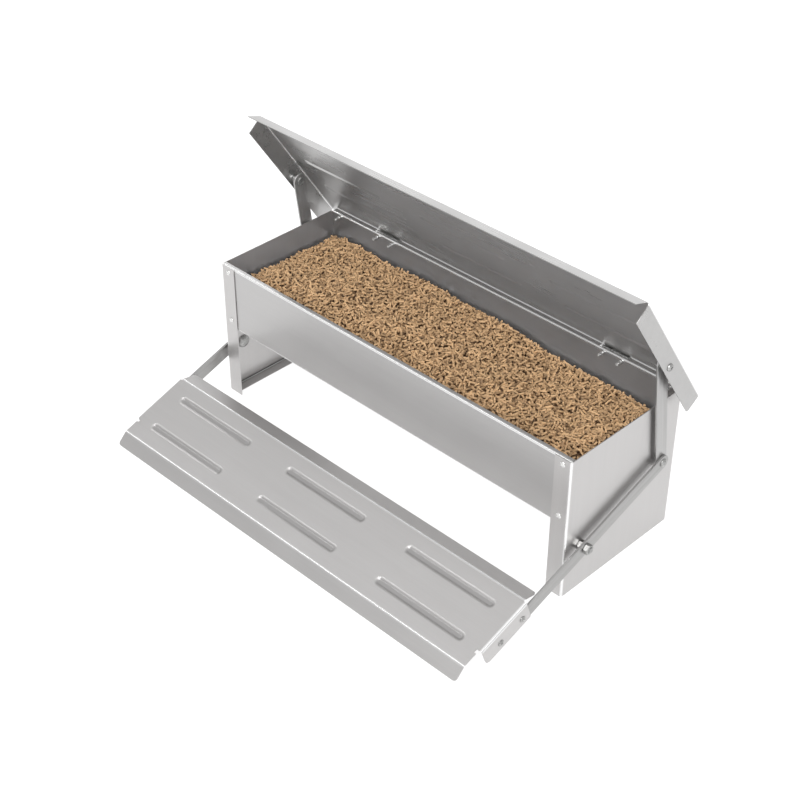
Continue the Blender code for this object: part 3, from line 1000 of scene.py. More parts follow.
@dataclass(frozen=True)
class HexNut:
    """A hexagon nut with chamfered corners and a plain bore.

    Args:
        across: Width across flats.
        bore: Radius of the bore.
        thick: Thickness.
        pitch: Thread pitch; not used.
    """

    across: float
    bore: float
    thick: float
    pitch: float = 1.0

    def mesh(self, name: str) -> bpy.types.Mesh:
        """Build it with its axis on X, centred.

        Args:
            name: The mesh's name.

        Returns:
            The mesh.
        """
        sides = 48
        half = self.across / 2
        top = self.thick / 2
        chamfer = math.tan(math.radians(30))

        def corner(angle: float) -> float:
            """Radius of the hexagon at an angle."""
            return half / math.cos((angle + math.pi / 6) % (math.pi / 3) - math.pi / 6)

        form = bmesh.new()
        rings = []
        for kind in range(8):
            ring = []
            for step in range(sides):
                angle = math.tau * step / sides
                wide = corner(angle)
                drop = (wide - half * 0.97) * chamfer
                radius, height = (
                    (self.bore, -top + 0.35),
                    (self.bore + 0.35, -top),
                    (half * 0.95, -top),
                    (wide, -top + drop),
                    (wide, top - drop),
                    (half * 0.95, top),
                    (self.bore + 0.35, top),
                    (self.bore, top - 0.35),
                )[kind]
                ring.append(
                    form.verts.new(
                        Vector((height, radius * math.cos(angle), radius * math.sin(angle))) * MM
                    )
                )
            rings.append(ring)
        for ring, after in zip(rings, rings[1:] + rings[:1]):
            for step in range(sides):
                near = (step + 1) % sides
                form.faces.new((ring[step], ring[near], after[near], after[step]))
        bmesh.ops.recalc_face_normals(form, faces=form.faces)
        return finished_mesh(name, form)


@dataclass(frozen=True)
class CoachBolt:
    """The arm's pivot bolt: a low dome inside the panel and a threaded end outside.

    Args:
        head: Radius of the head.
        height: Height of the head.
        radius: Radius of the thread's crest.
        length: Length under the head.
        thread: Length of the thread that shows at the end.
        pitch: Thread pitch.
    """

    head: float = 9.5
    height: float = 4.6
    radius: float = 4.0
    length: float = 18.2
    thread: float = 9.0
    pitch: float = 1.25

    def mesh(self, name: str) -> bpy.types.Mesh:
        """Build it with its axis on Z, its head up and its seat at zero.

        Args:
            name: The mesh's name.

        Returns:
            The mesh.
        """
        sides = 32
        per_turn = 6
        root = self.radius - 0.55
        stations: list[tuple[float, float, bool]] = []
        for step in range(7):
            angle = math.pi / 2 * (step + 0.4) / 6.4
            stations.append(
                (self.head * math.sin(angle), 0.1 + self.height * (0.1 + 0.9 * math.cos(angle)), False)
            )
        stations += [(self.head, 0.1, False), (self.radius, 0.1, False)]
        start = -(self.length - self.thread)
        stations.append((self.radius, start, False))
        turns = int(self.thread / self.pitch * per_turn)
        for step in range(turns + 1):
            stations.append((self.radius, start - self.pitch * step / per_turn, True))
        stations.append((self.radius - 0.9, -self.length, False))
        form = bmesh.new()
        rings = []
        for radius, height, threaded in stations:
            ring = []
            for side in range(sides):
                angle = math.tau * side / sides
                wide = radius
                if threaded:
                    phase = (-height / self.pitch + angle / math.tau) % 1.0
                    wide = root + (self.radius - root) * abs(2 * phase - 1)
                    wide = min(wide, self.radius - 0.9 + (height + self.length) * 1.0)
                ring.append(
                    form.verts.new(
                        Vector((wide * math.cos(angle), wide * math.sin(angle), height)) * MM
                    )
                )
            rings.append(ring)
        for ring, after in zip(rings, rings[1:]):
            for side in range(sides):
                near = (side + 1) % sides
                form.faces.new((ring[side], after[side], after[near], ring[near]))
        form.faces.new(rings[0])
        form.faces.new(list(reversed(rings[-1])))
        bmesh.ops.recalc_face_normals(form, faces=form.faces)
        return finished_mesh(name, form)


def pointed(place: Sequence[float], direction: Sequence[float]) -> Matrix:
    """The matrix that stands a Z-axis fastener at a place, pointing its head.

    Args:
        place: Its seat, in millimetres.
        direction: Where its head points.

    Returns:
        The matrix, in metres.
    """
    turn = Vector((0, 0, 1)).rotation_difference(Vector(direction))
    return Matrix.LocRotScale(Vector(place) * MM, turn, None)


# ---------------------------------------------------------------- ribs


@dataclass(frozen=True)
class Ribs:
    """Pressed stiffening ribs with round ends.

    Args:
        length: Overall length.
        width: Overall width.
        height: Height or depth of the pressing.
        wall: Width of the sloping wall.
        centres_x: The ribs' middles along X.
        centres_y: The ribs' middles in depth.
        rise: 1 for ribs pressed up and -1 for ribs pressed down.
    """

    length: float
    width: float
    height: float
    wall: float
    centres_x: tuple[float, ...]
    centres_y: tuple[float, ...]
    rise: float

    def lift(self, x: float, y: float) -> float:
        """How far a point of the sheet is pressed out of its plane.

        Args:
            x: Distance from the middle.
            y: Depth.

        Returns:
            The height in millimetres, with its sign.
        """
        near = 1e9
        reach = (self.length - self.width) / 2
        for centre_y in self.centres_y:
            for centre_x in self.centres_x:
                along = max(0.0, abs(x - centre_x) - reach)
                near = min(near, math.hypot(along, y - centre_y))
        share = max(0.0, min(1.0, (self.width / 2 - near) / self.wall))
        return self.rise * self.height * share * share * (3 - 2 * share)

    def floor(self, x: float, y: float) -> float:
        """How far a point lies on a rib's floor, from 0 to 1."""
        return min(1.0, max(0.0, abs(self.lift(x, y)) / self.height * 1.6 - 0.4))

    def lines_x(self) -> list[float]:
        """Grid lines that follow the ribs' ends.

        Returns:
            The lines' distances from the middle.
        """
        lines: list[float] = []
        for centre in self.centres_x:
            for sign in (-1, 1):
                end = centre + sign * self.length / 2
                inner = end - sign * (self.width / 2 + 1)
                lines += even_lines(min(inner, end + sign), max(inner, end + sign), 0.6)
        return lines

    def lines_y(self) -> list[float]:
        """Grid lines that follow the ribs' walls.

        Returns:
            The lines' depths.
        """
        lines: list[float] = []
        reach = self.width / 2 + 0.5
        for centre in self.centres_y:
            lines += even_lines(centre - reach, centre + reach, 0.6)
        return lines


# ---------------------------------------------------------------- sub-assemblies


@dataclass
class TroughAssembly:
    """The trough, its end panels and the rivets that join them.

    Args:
        half_width: Half the width over the panels.
        depth: Depth over the panels.
        height: Height of the rim.
        sheet: Sheet thickness.
        gap: Space between touching sheets.
        bottom: Height of the trough's underside.
        bend: Bend radius at the sheet's middle.
        polish: How far a bend's polish and painted highlight reach onto the flat sheet.
        lip: Width of the rim's front lip.
        back_reach: Depth that the back flange reaches.
        flange_inner: Distance of the panels' flange edges from the middle.
        foot: Width of the panels' foot flanges.
        notch: Width of the back flange's hinge notches.
        hinge_x: The hinges' middles.
        rivet_front_x: Distance of the front rivets from the middle.
        rivet_front_z: Their heights.
        rivet_back_x: Distance of the back rivets from the middle.
        rivet_back_z: Their heights.
        rivet_hinge_z: Height of the hinge rivets.
        rivet_hinge_offset: Their distance from the hinge's middle.
        rivet_hole: Radius of the rivet holes.
        leaf: Thickness of a hinge leaf.
        pivot: Depth and height of the pivot bolt.
    """

    half_width: float = 300.0
    depth: float = 203.0
    height: float = 203.0
    sheet: float = 1.0
    gap: float = 0.3
    bottom: float = 107.0
    bend: float = 1.6
    polish: float = 1.0
    lip: float = 6.0
    back_reach: float = 208.5
    flange_inner: float = 275.6
    foot: float = 15.0
    notch: float = 45.0
    hinge_x: tuple[float, float] = (-196.0, 196.0)
    rivet_front_x: float = 287.0
    rivet_front_z: tuple[float, float] = (194.3, 119.6)
    rivet_back_x: float = 285.0
    rivet_back_z: tuple[float, float] = (197.0, 120.0)
    rivet_hinge_z: float = 197.0
    rivet_hinge_offset: float = 14.0
    rivet_hole: float = 2.25
    leaf: float = 1.2
    pivot: Point = (28.0, 67.0)

    def build_trough(self, shop: Shop) -> None:
        """Fold the trough from one sheet, with hinge notches in its back flange.

        Args:
            shop: Where pieces are put.
        """
        half = self.half_width - self.sheet - self.gap
        mid = self.sheet / 2
        front = self.sheet + self.gap + mid
        back = self.depth - self.sheet - self.gap - mid
        top = self.height - mid
        floor = self.bottom + mid
        line = filleted(
            [
                (front + self.lip, top),
                (front, top),
                (front, floor),
                (back, floor),
                (back, top),
                (self.back_reach, top),
            ],
            self.bend,
            self.polish,
        )
        lines_x = even_lines(-half, half, 24.0)
        mesh = grid_mesh(
            "trough_body",
            len(line),
            len(lines_x),
            lambda row, column: (lines_x[column], *line[row][0]),
            lambda row, column: line[row][1],
        )
        cutters = [
            rounded_cutter(
                (x - self.notch / 2, self.depth + 0.2),
                (x + self.notch / 2, self.back_reach + 12),
                3.0,
                top - 2,
                top + 2,
            )
            for x in self.hinge_x
        ]
        holes = [
            Vector((side.value * self.rivet_front_x, front, z))
            for side in Side
            for z in self.rivet_front_z
        ]
        holes += [
            Vector((side.value * self.rivet_back_x, back, z))
            for side in Side
            for z in self.rivet_back_z
        ]
        holes += [
            Vector((x + sign * self.rivet_hinge_offset, back, self.rivet_hinge_z))
            for x in self.hinge_x
            for sign in (-1, 1)
        ]
        cutters.append(hole_cutter(holes, Vector((0, 1, 0)), self.rivet_hole))
        shop.put(
            "trough_body", mesh, "trough_sheet", Body.FRAME, ["trough"],
            sheet=self.sheet, cutters=cutters,
        )

    def build_panels(self, shop: Shop) -> None:
        """Fold the two end panels, each with its foot flange.

        Args:
            shop: Where pieces are put.
        """
        mid = self.sheet / 2
        for side in Side:
            wall = self.half_width - mid
            line = filleted(
                [
                    (self.flange_inner, mid),
                    (wall, mid),
                    (wall, self.depth - mid),
                    (self.flange_inner, self.depth - mid),
                ],
                self.bend,
                self.polish,
            )
            lines_z = even_lines(self.sheet * 0.9, self.height, 20.0)
            mesh = grid_mesh(
                f"end_panel_{side.label}",
                len(lines_z),
                len(line),
                lambda row, column, s=side: (
                    s.value * line[column][0][0],
                    line[column][0][1],
                    lines_z[row],
                ),
                lambda row, column: line[column][1],
            )
            drop = self.height - self.sheet - self.gap
            inner = sorted((side.value * (self.flange_inner - 5), side.value * (wall - 2.2)))
            holes = [Vector((side.value * self.rivet_front_x, mid, z)) for z in self.rivet_front_z]
            holes += [
                Vector((side.value * self.rivet_back_x, self.depth - mid, z))
                for z in self.rivet_back_z
            ]
            shop.put(
                f"end_panel_{side.label}", mesh, "panel_sheet", Body.FRAME,
                [f"side_panel_{side.label}"], sheet=self.sheet,
                cutters=[
                    rounded_cutter(
                        (inner[0], self.depth - 2), (inner[1], self.depth + 2), 0.4,
                        drop, self.height + 2,
                    ),
                    hole_cutter(holes, Vector((0, 1, 0)), self.rivet_hole),
                    hole_cutter([Vector((side.value * wall, *self.pivot))], Vector((1, 0, 0)), M8_HOLE),
                ],
            )
            self.build_foot(shop, side, wall)

    def build_foot(self, shop: Shop, side: Side, wall: float) -> None:
        """Turn the panel's lower edge inwards as a foot.

        Args:
            shop: Where pieces are put.
            side: Which panel.
            wall: Distance of the panel's middle surface.
        """
        mid = self.sheet / 2
        line = filleted([(wall - self.foot, mid), (wall, mid), (wall, 4.0)], 1.2)
        lines_y = even_lines(4.0, self.depth - 4.0, 20.0)
        mesh = grid_mesh(
            f"foot_flange_{side.label}",
            len(lines_y),
            len(line),
            lambda row, column: (
                side.value * (line[column][0][0] - 0.02),
                lines_y[row],
                line[column][0][1],
            ),
            lambda row, column: line[column][1],
        )
        shop.put(
            f"foot_flange_{side.label}", mesh, "panel_sheet", Body.FRAME,
            sheet=self.sheet * 0.96,
        )

    def build_rivets(self, shop: Shop) -> None:
        """Set the pop rivets of the panels and the hinges.

        Args:
            shop: Where pieces are put.
        """
        rivet = BlindRivet()
        stack = 2 * self.sheet + self.gap
        for side in Side:
            for level, z in zip(("upper", "lower"), self.rivet_front_z):
                self.set_rivet(
                    shop, rivet, stack, f"front_rivet_{side.label}_{level}",
                    (side.value * self.rivet_front_x, 0.0, z), (0, -1, 0),
                )
            for level, z in zip(("upper", "lower"), self.rivet_back_z):
                self.set_rivet(
                    shop, rivet, stack, f"back_rivet_{side.label}_{level}",
                    (side.value * self.rivet_back_x, self.depth, z), (0, 1, 0),
                )
        for side, x in zip(Side, self.hinge_x):
            for place, toward in (("outer", side.value), ("inner", -side.value)):
                self.set_rivet(
                    shop, rivet, stack + self.leaf - self.sheet,
                    f"hinge_rivet_{side.label}_{place}",
                    (x + toward * self.rivet_hinge_offset, self.depth + self.leaf - self.sheet,
                     self.rivet_hinge_z),
                    (0, 1, 0),
                )

    def set_rivet(
        self,
        shop: Shop,
        rivet: BlindRivet,
        stack: float,
        node: str,
        place: Sequence[float],
        direction: Sequence[float],
    ) -> None:
        """Set one pop rivet.

        Args:
            shop: Where pieces are put.
            rivet: Its form.
            stack: Thickness that it holds.
            node: The CAD node that it stands for.
            place: Where its head sits.
            direction: Where its head points.
        """
        name = f"pop_{node}"
        shop.put(
            name, rivet.mesh(name, stack), "rivet_metal", Body.FRAME, [node],
            matrix=pointed(place, direction),
        )


@dataclass
class LidAssembly:
    """The lid with its lip, flanges and ribs, and the bolts that the link bars hang on.

    Args:
        underside: Height of its inner face over the hinge pin when closed.
        front: Depth of its front fold from the pin.
        rear: Depth of its rear edge from the pin.
        half_width: Half its width at the sheet's middle.
        sheet: Sheet thickness.
        flange: Height of its side flanges.
        lip: Width of its front lip.
        lip_degrees: How far the lip slopes down.
        bend: Bend radius at the sheet's middle.
        corner: Radius of the flanges' rear corners.
        slant: How far the flanges' front ends lean back.
        bolt: Depth and height of the link bolt from the pin.
        nut_x: Distance of the bolt's nut from the middle.
        spacer_x: Distance of the spacer from the middle.
        ribs: The pressed ribs.
    """

    underside: float = 2.9
    front: float = -213.4
    rear: float = 10.5
    half_width: float = 315.3
    sheet: float = 1.0
    flange: float = 26.5
    lip: float = 22.5
    lip_degrees: float = 38.0
    bend: float = 2.2
    corner: float = 4.0
    slant: float = 0.12
    bolt: Point = (-89.7, -12.8)
    nut_x: float = 302.0
    spacer_x: float = 310.45
    ribs: Ribs = Ribs(143.0, 14.0, 1.5, 5.0, (-211.0, 0.0, 211.0), (-130.0, -68.0), 1.0)

    def build_sheet(self, shop: Shop) -> None:
        """Press and fold the lid.

        Args:
            shop: Where pieces are put.
        """
        level = self.underside + self.sheet / 2
        slope = math.radians(self.lip_degrees)
        end = (
            self.front - self.lip * math.cos(slope),
            level - self.lip * math.sin(slope),
        )
        depth_line = filleted([end, (self.front, level), (self.rear, level)], self.bend, 1.2)
        fold_end = depth_line[-2][0][0]
        first = len(depth_line) - 1
        flat = merged_lines(
            [*even_lines(fold_end, self.rear, 12.0), *self.ribs.lines_y(),
             *even_lines(self.rear - self.corner, self.rear, 0.7)]
        )
        depth_line = depth_line[:first] + [((y, level), 0.0) for y in flat[1:]]
        drop = self.flange - self.sheet / 2
        side_line = filleted([(0.0, 0.0), (self.half_width, 0.0), (self.half_width, -drop)], self.bend)
        arc = side_line[1:-1]
        inner = merged_lines(
            [*even_lines(0.0, arc[0][0][0], 16.0), *[x for x in self.ribs.lines_x() if x > 0]], 0.3
        )
        lower = [arc[-1][0][1] + (-drop - arc[-1][0][1]) * t for t in (0.35, 0.7, 1.0)]
        half = [((x, 0.0), 0.0) for x in inner[:-1]] + arc
        half += [((self.half_width, z), 0.0) for z in lower]
        across = [((-p[0], p[1]), f) for p, f in reversed(half[1:])] + half
        fold_row = first - 1

        def place(row: int, column: int) -> tuple[float, float, float]:
            """The sheet's point at a grid line in depth and across.

            Args:
                row: The grid line in depth.
                column: The grid line across.

            Returns:
                The point in millimetres.
            """
            (y, z), _ = depth_line[row]
            (x, sink), _ = across[column]
            if sink < -self.bend:
                share = sink / -drop
                near_front = max(0.0, 1 - (y - self.front) / 20.0)
                y += self.slant * -sink * near_front
                past = y - (self.rear - self.corner)
                if past > 0:
                    cut = self.corner - math.sqrt(max(0.0, self.corner**2 - past**2))
                    sink += cut * share
            return (x, y, z + sink + self.ribs.lift(x, y))

        def keep(row: int, column: int) -> bool:
            """The lip runs over the plate's width only.

            Args:
                row: The grid line in depth.
                column: The grid line across.

            Returns:
                Whether the cell is part of the sheet.
            """
            reach = max(abs(across[column][0][0]), abs(across[column + 1][0][0]))
            sunk = min(across[column][0][1], across[column + 1][0][1]) < -0.02
            return row >= fold_row or (reach <= self.half_width and not sunk)

        mesh = grid_mesh(
            "lid_sheet",
            len(depth_line),
            len(across),
            place,
            lambda row, column: max(depth_line[row][1], across[column][1]),
            keep,
        )
        holes = [Vector((side.value * self.half_width, *self.bolt)) for side in Side]
        shop.put(
            "lid_sheet", mesh, "lid_sheet", Body.LID, ["lid"], sheet=self.sheet,
            cutters=[hole_cutter(holes, Vector((1, 0, 0)), M6_HOLE)],
        )

    def build_bolts(self, shop: Shop) -> None:
        """Put a pan-head bolt, a spacer and a nut on each side.

        Args:
            shop: Where pieces are put.
        """
        outer = self.half_width + self.sheet / 2
        bolt = DomeRivet(5.0, 2.9, 3.0, 15.2, dimple=1.6)
        for side in Side:
            name = f"pan_bolt_{side.label}"
            shop.put(
                name, bolt.mesh(name), "zinc_plate", Body.LID,
                [f"lid_bolt_{side.label}"],
                matrix=pointed((side.value * outer, *self.bolt), (side.value, 0, 0)),
            )
            name = f"thin_nut_{side.label}"
            middle = Matrix.Translation(Vector((side.value * self.nut_x, *self.bolt)) * MM)
            shop.put(
                name, HexNut(10.0, 3.2, 2.6).mesh(name), "zinc_plate", Body.LID,
                [f"lid_nut_{side.label}"], matrix=middle,
            )
            name = f"spacer_tube_{side.label}"
            rings = [ring_points((0, 0), 5.0), ring_points((0, 0), M6_HOLE)]
            middle = Matrix.Translation(Vector((side.value * self.spacer_x, *self.bolt)) * MM)
            shop.put(
                name, flat_mesh(name, rings, 8.0, 0.3), "zinc_plate", Body.LID,
                [f"lid_spacer_{side.label}"], matrix=middle,
            )


@dataclass
class StepAssembly:
    """The step plate with its flanges, notches and ribs, its arms and their rivets.

    Depths and heights are measured from the pivot, with the arms level.

    Args:
        top: Height of the plate's top.
        front: Depth of its front fold.
        depth: Depth between its folds.
        sheet: Sheet thickness.
        bend: Bend radius at the sheet's middle.
        narrow: Half its width in front of the end flanges.
        notch_half: Half its width at the notches.
        notch: Where each notch starts and ends, from the front fold.
        flange_x: Distance of the end flanges' middle surface.
        flange: Height of the end flanges.
        corner: Radius of their front corners.
        end_corner: Radius of the front and rear flanges' corners.
        front_flange: Width of the front flange.
        front_degrees: How far it slopes down.
        rear_flange: Width of the rear flange.
        rear_degrees: How far it slopes down.
        rear_half: Half the rear flange's width.
        rivets: The arm rivets' distances from the front fold.
        rivet_hole: Radius of their holes.
        arm_inner: Distance of the arms' inner faces.
        arm_thick: Thickness of the arms.
        arm_front: Depth of the arms' front end centres.
        arm_reach: Distance from the pivot to the link rivet.
        arm_half: Half the arms' height.
        ribs: The pressed ribs.
    """

    top: float = 18.3
    front: float = -208.1
    depth: float = 105.5
    sheet: float = 1.0
    bend: float = 3.2
    narrow: float = 306.1
    notch_half: float = 303.0
    notch: Point = (20.0, 25.0)
    flange_x: float = 310.2
    flange: float = 28.0
    corner: float = 7.0
    end_corner: float = 4.5
    front_flange: float = 20.2
    front_degrees: float = 26.0
    rear_flange: float = 21.0
    rear_degrees: float = 28.0
    rear_half: float = 305.8
    rivets: Point = (53.0, 91.0)
    rivet_hole: float = 2.3
    arm_inner: float = 306.4
    arm_thick: float = 3.0
    arm_front: float = -155.5
    arm_reach: float = 148.0
    arm_half: float = 9.5
    ribs: Ribs = Ribs(143.0, 14.0, 1.5, 5.0, (-211.0, 0.0, 211.0), (-181.6, -128.6), -1.0)

    def build_plate(self, shop: Shop) -> None:
        """Press and fold the step plate.

        Args:
            shop: Where pieces are put.
        """
        level = self.top - self.sheet / 2
        rear = self.front + self.depth
        fall = math.radians(self.front_degrees)
        slide = math.radians(self.rear_degrees)
        line = filleted(
            [
                (
                    self.front - self.front_flange * math.cos(fall),
                    level - self.front_flange * math.sin(fall),
                ),
                (self.front, level),
                (rear, level),
                (
                    rear + self.rear_flange * math.cos(slide),
                    level - self.rear_flange * math.sin(slide),
                ),
            ],
            self.bend,
            1.2,
        )
        bend_points = (len(line) - 2) // 2
        ahead, behind = line[: 1 + bend_points], line[1 + bend_points :]
        ahead = stepped_edge(ahead, self.end_corner)
        behind = list(reversed(stepped_edge(list(reversed(behind)), self.end_corner)))
        notch_start = self.front + self.notch[0]
        notch_end = self.front + self.notch[1]
        flat = merged_lines(
            [
                *even_lines(ahead[-1][0][0], behind[0][0][0], 8.0),
                *self.ribs.lines_y(),
                *even_lines(notch_end, notch_end + self.corner, 0.6),
            ],
            0.2,
        )
        flat = [y for y in flat if min(abs(y - notch_start), abs(y - notch_end)) > 0.2]
        flat = sorted([*flat[1:-1], notch_start, notch_end])
        depth_line = ahead + [((y, level), 0.0) for y in flat] + behind
        depths_line = [point for point, _ in depth_line]
        depths = [point[0] for point in depths_line]
        drop = self.flange - self.sheet / 2
        side_line = filleted([(0.0, 0.0), (self.flange_x, 0.0), (self.flange_x, -drop)], self.bend)
        arc = side_line[1:-1]
        marks = (self.notch_half, self.rear_half, self.narrow)
        inner = [
            x
            for x in merged_lines(
                [
                    *even_lines(0.0, arc[0][0][0], 14.0),
                    *[x for x in self.ribs.lines_x() if x > 0],
                ],
                0.3,
            )
            if min(abs(x - mark) for mark in marks) > 0.25
        ]
        inner = sorted([*inner[:-1], *marks])
        lower = [arc[-1][0][1] + (-drop - arc[-1][0][1]) * t for t in (0.35, 0.7, 1.0)]
        half = [((x, 0.0), 0.0) for x in inner] + arc
        half += [((self.flange_x, z), 0.0) for z in lower]
        across = [((-p[0], p[1]), f) for p, f in reversed(half[1:])] + half
        front_row = len(ahead)
        rear_row = len(depth_line) - len(behind)

        def place(row: int, column: int) -> tuple[float, float, float]:
            """The sheet's point at a grid line in depth and across.

            Args:
                row: The grid line in depth.
                column: The grid line across.

            Returns:
                The point in millimetres.
            """
            (y, z), _ = depth_line[row]
            (x, sink), _ = across[column]
            edge = min(math.dist(depths_line[row], depths_line[end]) for end in (0, -1))
            if edge < self.end_corner:
                past = self.end_corner - edge
                cut = self.end_corner - math.sqrt(self.end_corner**2 - past**2)
                x *= 1 - cut / self.narrow
            if sink < -self.bend:
                share = sink / -drop
                past = notch_end + self.corner - y
                if past > 0:
                    cut = self.corner - math.sqrt(max(0.0, self.corner**2 - past**2))
                    sink += cut * share
            return (x, y, z + sink + self.ribs.lift(x, y))

        def keep(row: int, column: int) -> bool:
            """The sheet's outline, with its notches and shorter end flanges.

            Args:
                row: The grid line in depth.
                column: The grid line across.

            Returns:
                Whether the cell is part of the sheet.
            """
            x = max(abs(across[column][0][0]), abs(across[column + 1][0][0]))
            sunk = min(across[column][0][1], across[column + 1][0][1]) < -1e-4
            y = (depths[row] + depths[row + 1]) / 2
            if row >= rear_row:
                return x <= self.rear_half + 0.01
            if row < front_row or y < notch_start:
                return x <= self.narrow + 0.01 and not sunk
            if y < notch_end:
                return x <= self.notch_half + 0.01
            return True

        mesh = grid_mesh(
            "step_plate",
            len(depth_line),
            len(across),
            place,
            lambda row, column: max(depth_line[row][1], across[column][1]),
            keep,
            # The rib floors' share, which the step finish darkens as painted shade.
            lambda row, column: self.ribs.floor(across[column][0][0], depths[row]),
        )
        holes = [
            Vector((side.value * self.flange_x, self.front + setback, 0.0))
            for side in Side
            for setback in self.rivets
        ]
        shop.put(
            "step_plate", mesh, "step_sheet", Body.STEP, ["treadle_plate"],
            sheet=self.sheet, cutters=[hole_cutter(holes, Vector((1, 0, 0)), self.rivet_hole)],
        )

    def build_arms(self, shop: Shop) -> None:
        """Cut the two arms and rivet them to the step and the link bars.

        Args:
            shop: Where pieces are put.
        """
        rivet_y = [self.front + setback for setback in self.rivets]
        flange_outer = self.flange_x + self.sheet / 2
        arm_outer = self.arm_inner + self.arm_thick
        step_rivet = DomeRivet(4.5, 1.7, 2.0, 4.6, 3.4, 1.4, dimple=1.4)
        arm_rivet = DomeRivet(5.5, 2.7, 3.0, 2.8)
        for side in Side:
            rings = [
                bar_points((self.arm_front, 0), (self.arm_reach, 0), self.arm_half),
                ring_points((0, 0), M8_HOLE),
                ring_points((self.arm_reach, 0), M6_HOLE),
            ]
            rings += [ring_points((y, 0), self.rivet_hole, 20) for y in rivet_y]
            name = f"arm_bar_{side.label}"
            middle = side.value * (self.arm_inner + self.arm_thick / 2)
            shop.put(
                name, flat_mesh(name, rings, self.arm_thick, BAR_EDGE), "flat_bar", Body.STEP,
                [f"treadle_arm_{side.label}"],
                matrix=Matrix.Translation((middle * MM, 0, 0)),
            )
            for place, y in zip(("front", "rear"), rivet_y):
                name = f"step_rivet_{side.label}_{place}"
                shop.put(
                    name, step_rivet.mesh(name), "zinc_plate", Body.STEP,
                    [f"treadle_rivet_{side.label}_{place}"],
                    matrix=pointed((side.value * flange_outer, y, 0), (side.value, 0, 0)),
                )
            name = f"arm_end_rivet_{side.label}"
            shop.put(
                name, arm_rivet.mesh(name), "zinc_plate", Body.STEP,
                [f"arm_rivet_{side.label}"],
                matrix=pointed((side.value * arm_outer, self.arm_reach, 0), (side.value, 0, 0)),
            )


@dataclass
class LinkAssembly:
    """A flat link bar on each side, with the rivet at its foot.

    Args:
        length: Distance between its holes.
        inner: Distance of its inner face from the middle.
        thick: Its thickness.
        half: Half its width.
    """

    length: float
    inner: float = 303.6
    thick: float = 2.5
    half: float = 10.0

    def build(self, shop: Shop) -> None:
        """Cut both bars and set their rivets.

        Args:
            shop: Where pieces are put.
        """
        rivet = DomeRivet(5.0, 2.4, 3.0, 2.3)
        for side in Side:
            body = Body.LINK_LEFT if side is Side.LEFT else Body.LINK_RIGHT
            rings = [
                bar_points((0, 0), (0, -self.length), self.half),
                ring_points((0, 0), M6_HOLE),
                ring_points((0, -self.length), M6_HOLE),
            ]
            name = f"link_flat_{side.label}"
            middle = side.value * (self.inner + self.thick / 2)
            shop.put(
                name, flat_mesh(name, rings, self.thick, BAR_EDGE), "link_flat_bar", body,
                [f"link_bar_{side.label}"], matrix=Matrix.Translation((middle * MM, 0, 0)),
            )
            name = f"link_end_rivet_{side.label}"
            place = (side.value * self.inner, 0, -self.length)
            shop.put(
                name, rivet.mesh(name), "zinc_plate", body,
                [f"link_rivet_{side.label}"], matrix=pointed(place, (-side.value, 0, 0)),
            )


@dataclass
class PivotAssembly:
    """The M8 pivots of the arms, each with a nut on both sides of the arm.

    Args:
        place: Depth and height of the bolt.
        panel_inner: Distance of the panels' inner faces.
        inner_nut: Where the inner nut starts and ends.
        outer_nut: Where the outer nut starts and ends.
        across: Width of the nuts across flats.
        bore: Radius of the nuts' bores.
        pitch: Thread pitch.
        turn_degrees: How far the nuts are turned.
    """

    place: Point = (28.0, 67.0)
    panel_inner: float = 299.0
    inner_nut: Point = (300.3, 306.1)
    outer_nut: Point = (309.7, 315.7)
    across: float = 12.0
    bore: float = 4.1
    pitch: float = 1.25
    turn_degrees: float = 12.0

    def build(self, shop: Shop) -> None:
        """Put the bolts and nuts on both sides.

        Args:
            shop: Where pieces are put.
        """
        for side in Side:
            name = f"coach_bolt_{side.label}"
            seat = (side.value * self.panel_inner, *self.place)
            shop.put(
                name, CoachBolt().mesh(name), "zinc_plate", Body.FRAME,
                [f"pivot_bolt_{side.label}"], matrix=pointed(seat, (-side.value, 0, 0)),
            )
            for where, (start, end) in (("inner", self.inner_nut), ("outer", self.outer_nut)):
                name = f"hex_nut_{where}_{side.label}"
                spot = Vector((side.value * (start + end) / 2, *self.place)) * MM
                turn = Matrix.Rotation(math.radians(self.turn_degrees), 4, "X")
                nut = HexNut(self.across, self.bore, end - start, self.pitch)
                shop.put(
                    name, nut.mesh(name), "zinc_plate",
                    Body.FRAME, [f"pivot_{where}_nut_{side.label}"],
                    matrix=Matrix.Translation(spot) @ turn,
                )


@dataclass
class HingeDressing:
    """The hinges keep their CAD shape and take a plated finish.

    Args:
        finish: The finish's name.
    """

    finish: str = "zinc_plate"

    def dress(self, shop: Shop, nodes: dict[str, bpy.types.Object]) -> None:
        """Give every hinge node its finish.

        Args:
            shop: Where pieces are put.
            nodes: The CAD nodes by name.
        """
        for name, node in nodes.items():
            if name.startswith(("hinge_fixed", "hinge_moving", "hinge_pin")):
                node.data.materials.clear()
                node.data.materials.append(shop.rack[self.finish])
                LOG.info("%s keeps its CAD shape", name)


@dataclass
class PelletScatter:
    """One layer of pellets, as arrays with a value for each pellet.

    Args:
        x: Middles across.
        y: Middles in depth.
        z: Middles in height.
        length: Lengths.
        radius: Radii.
        turn: Headings.
        tilt: Tilts.
        tone: Each pellet's own shade, about 0 to 1.
    """

    x: np.ndarray
    y: np.ndarray
    z: np.ndarray
    length: np.ndarray
    radius: np.ndarray
    turn: np.ndarray
    tilt: np.ndarray
    tone: np.ndarray


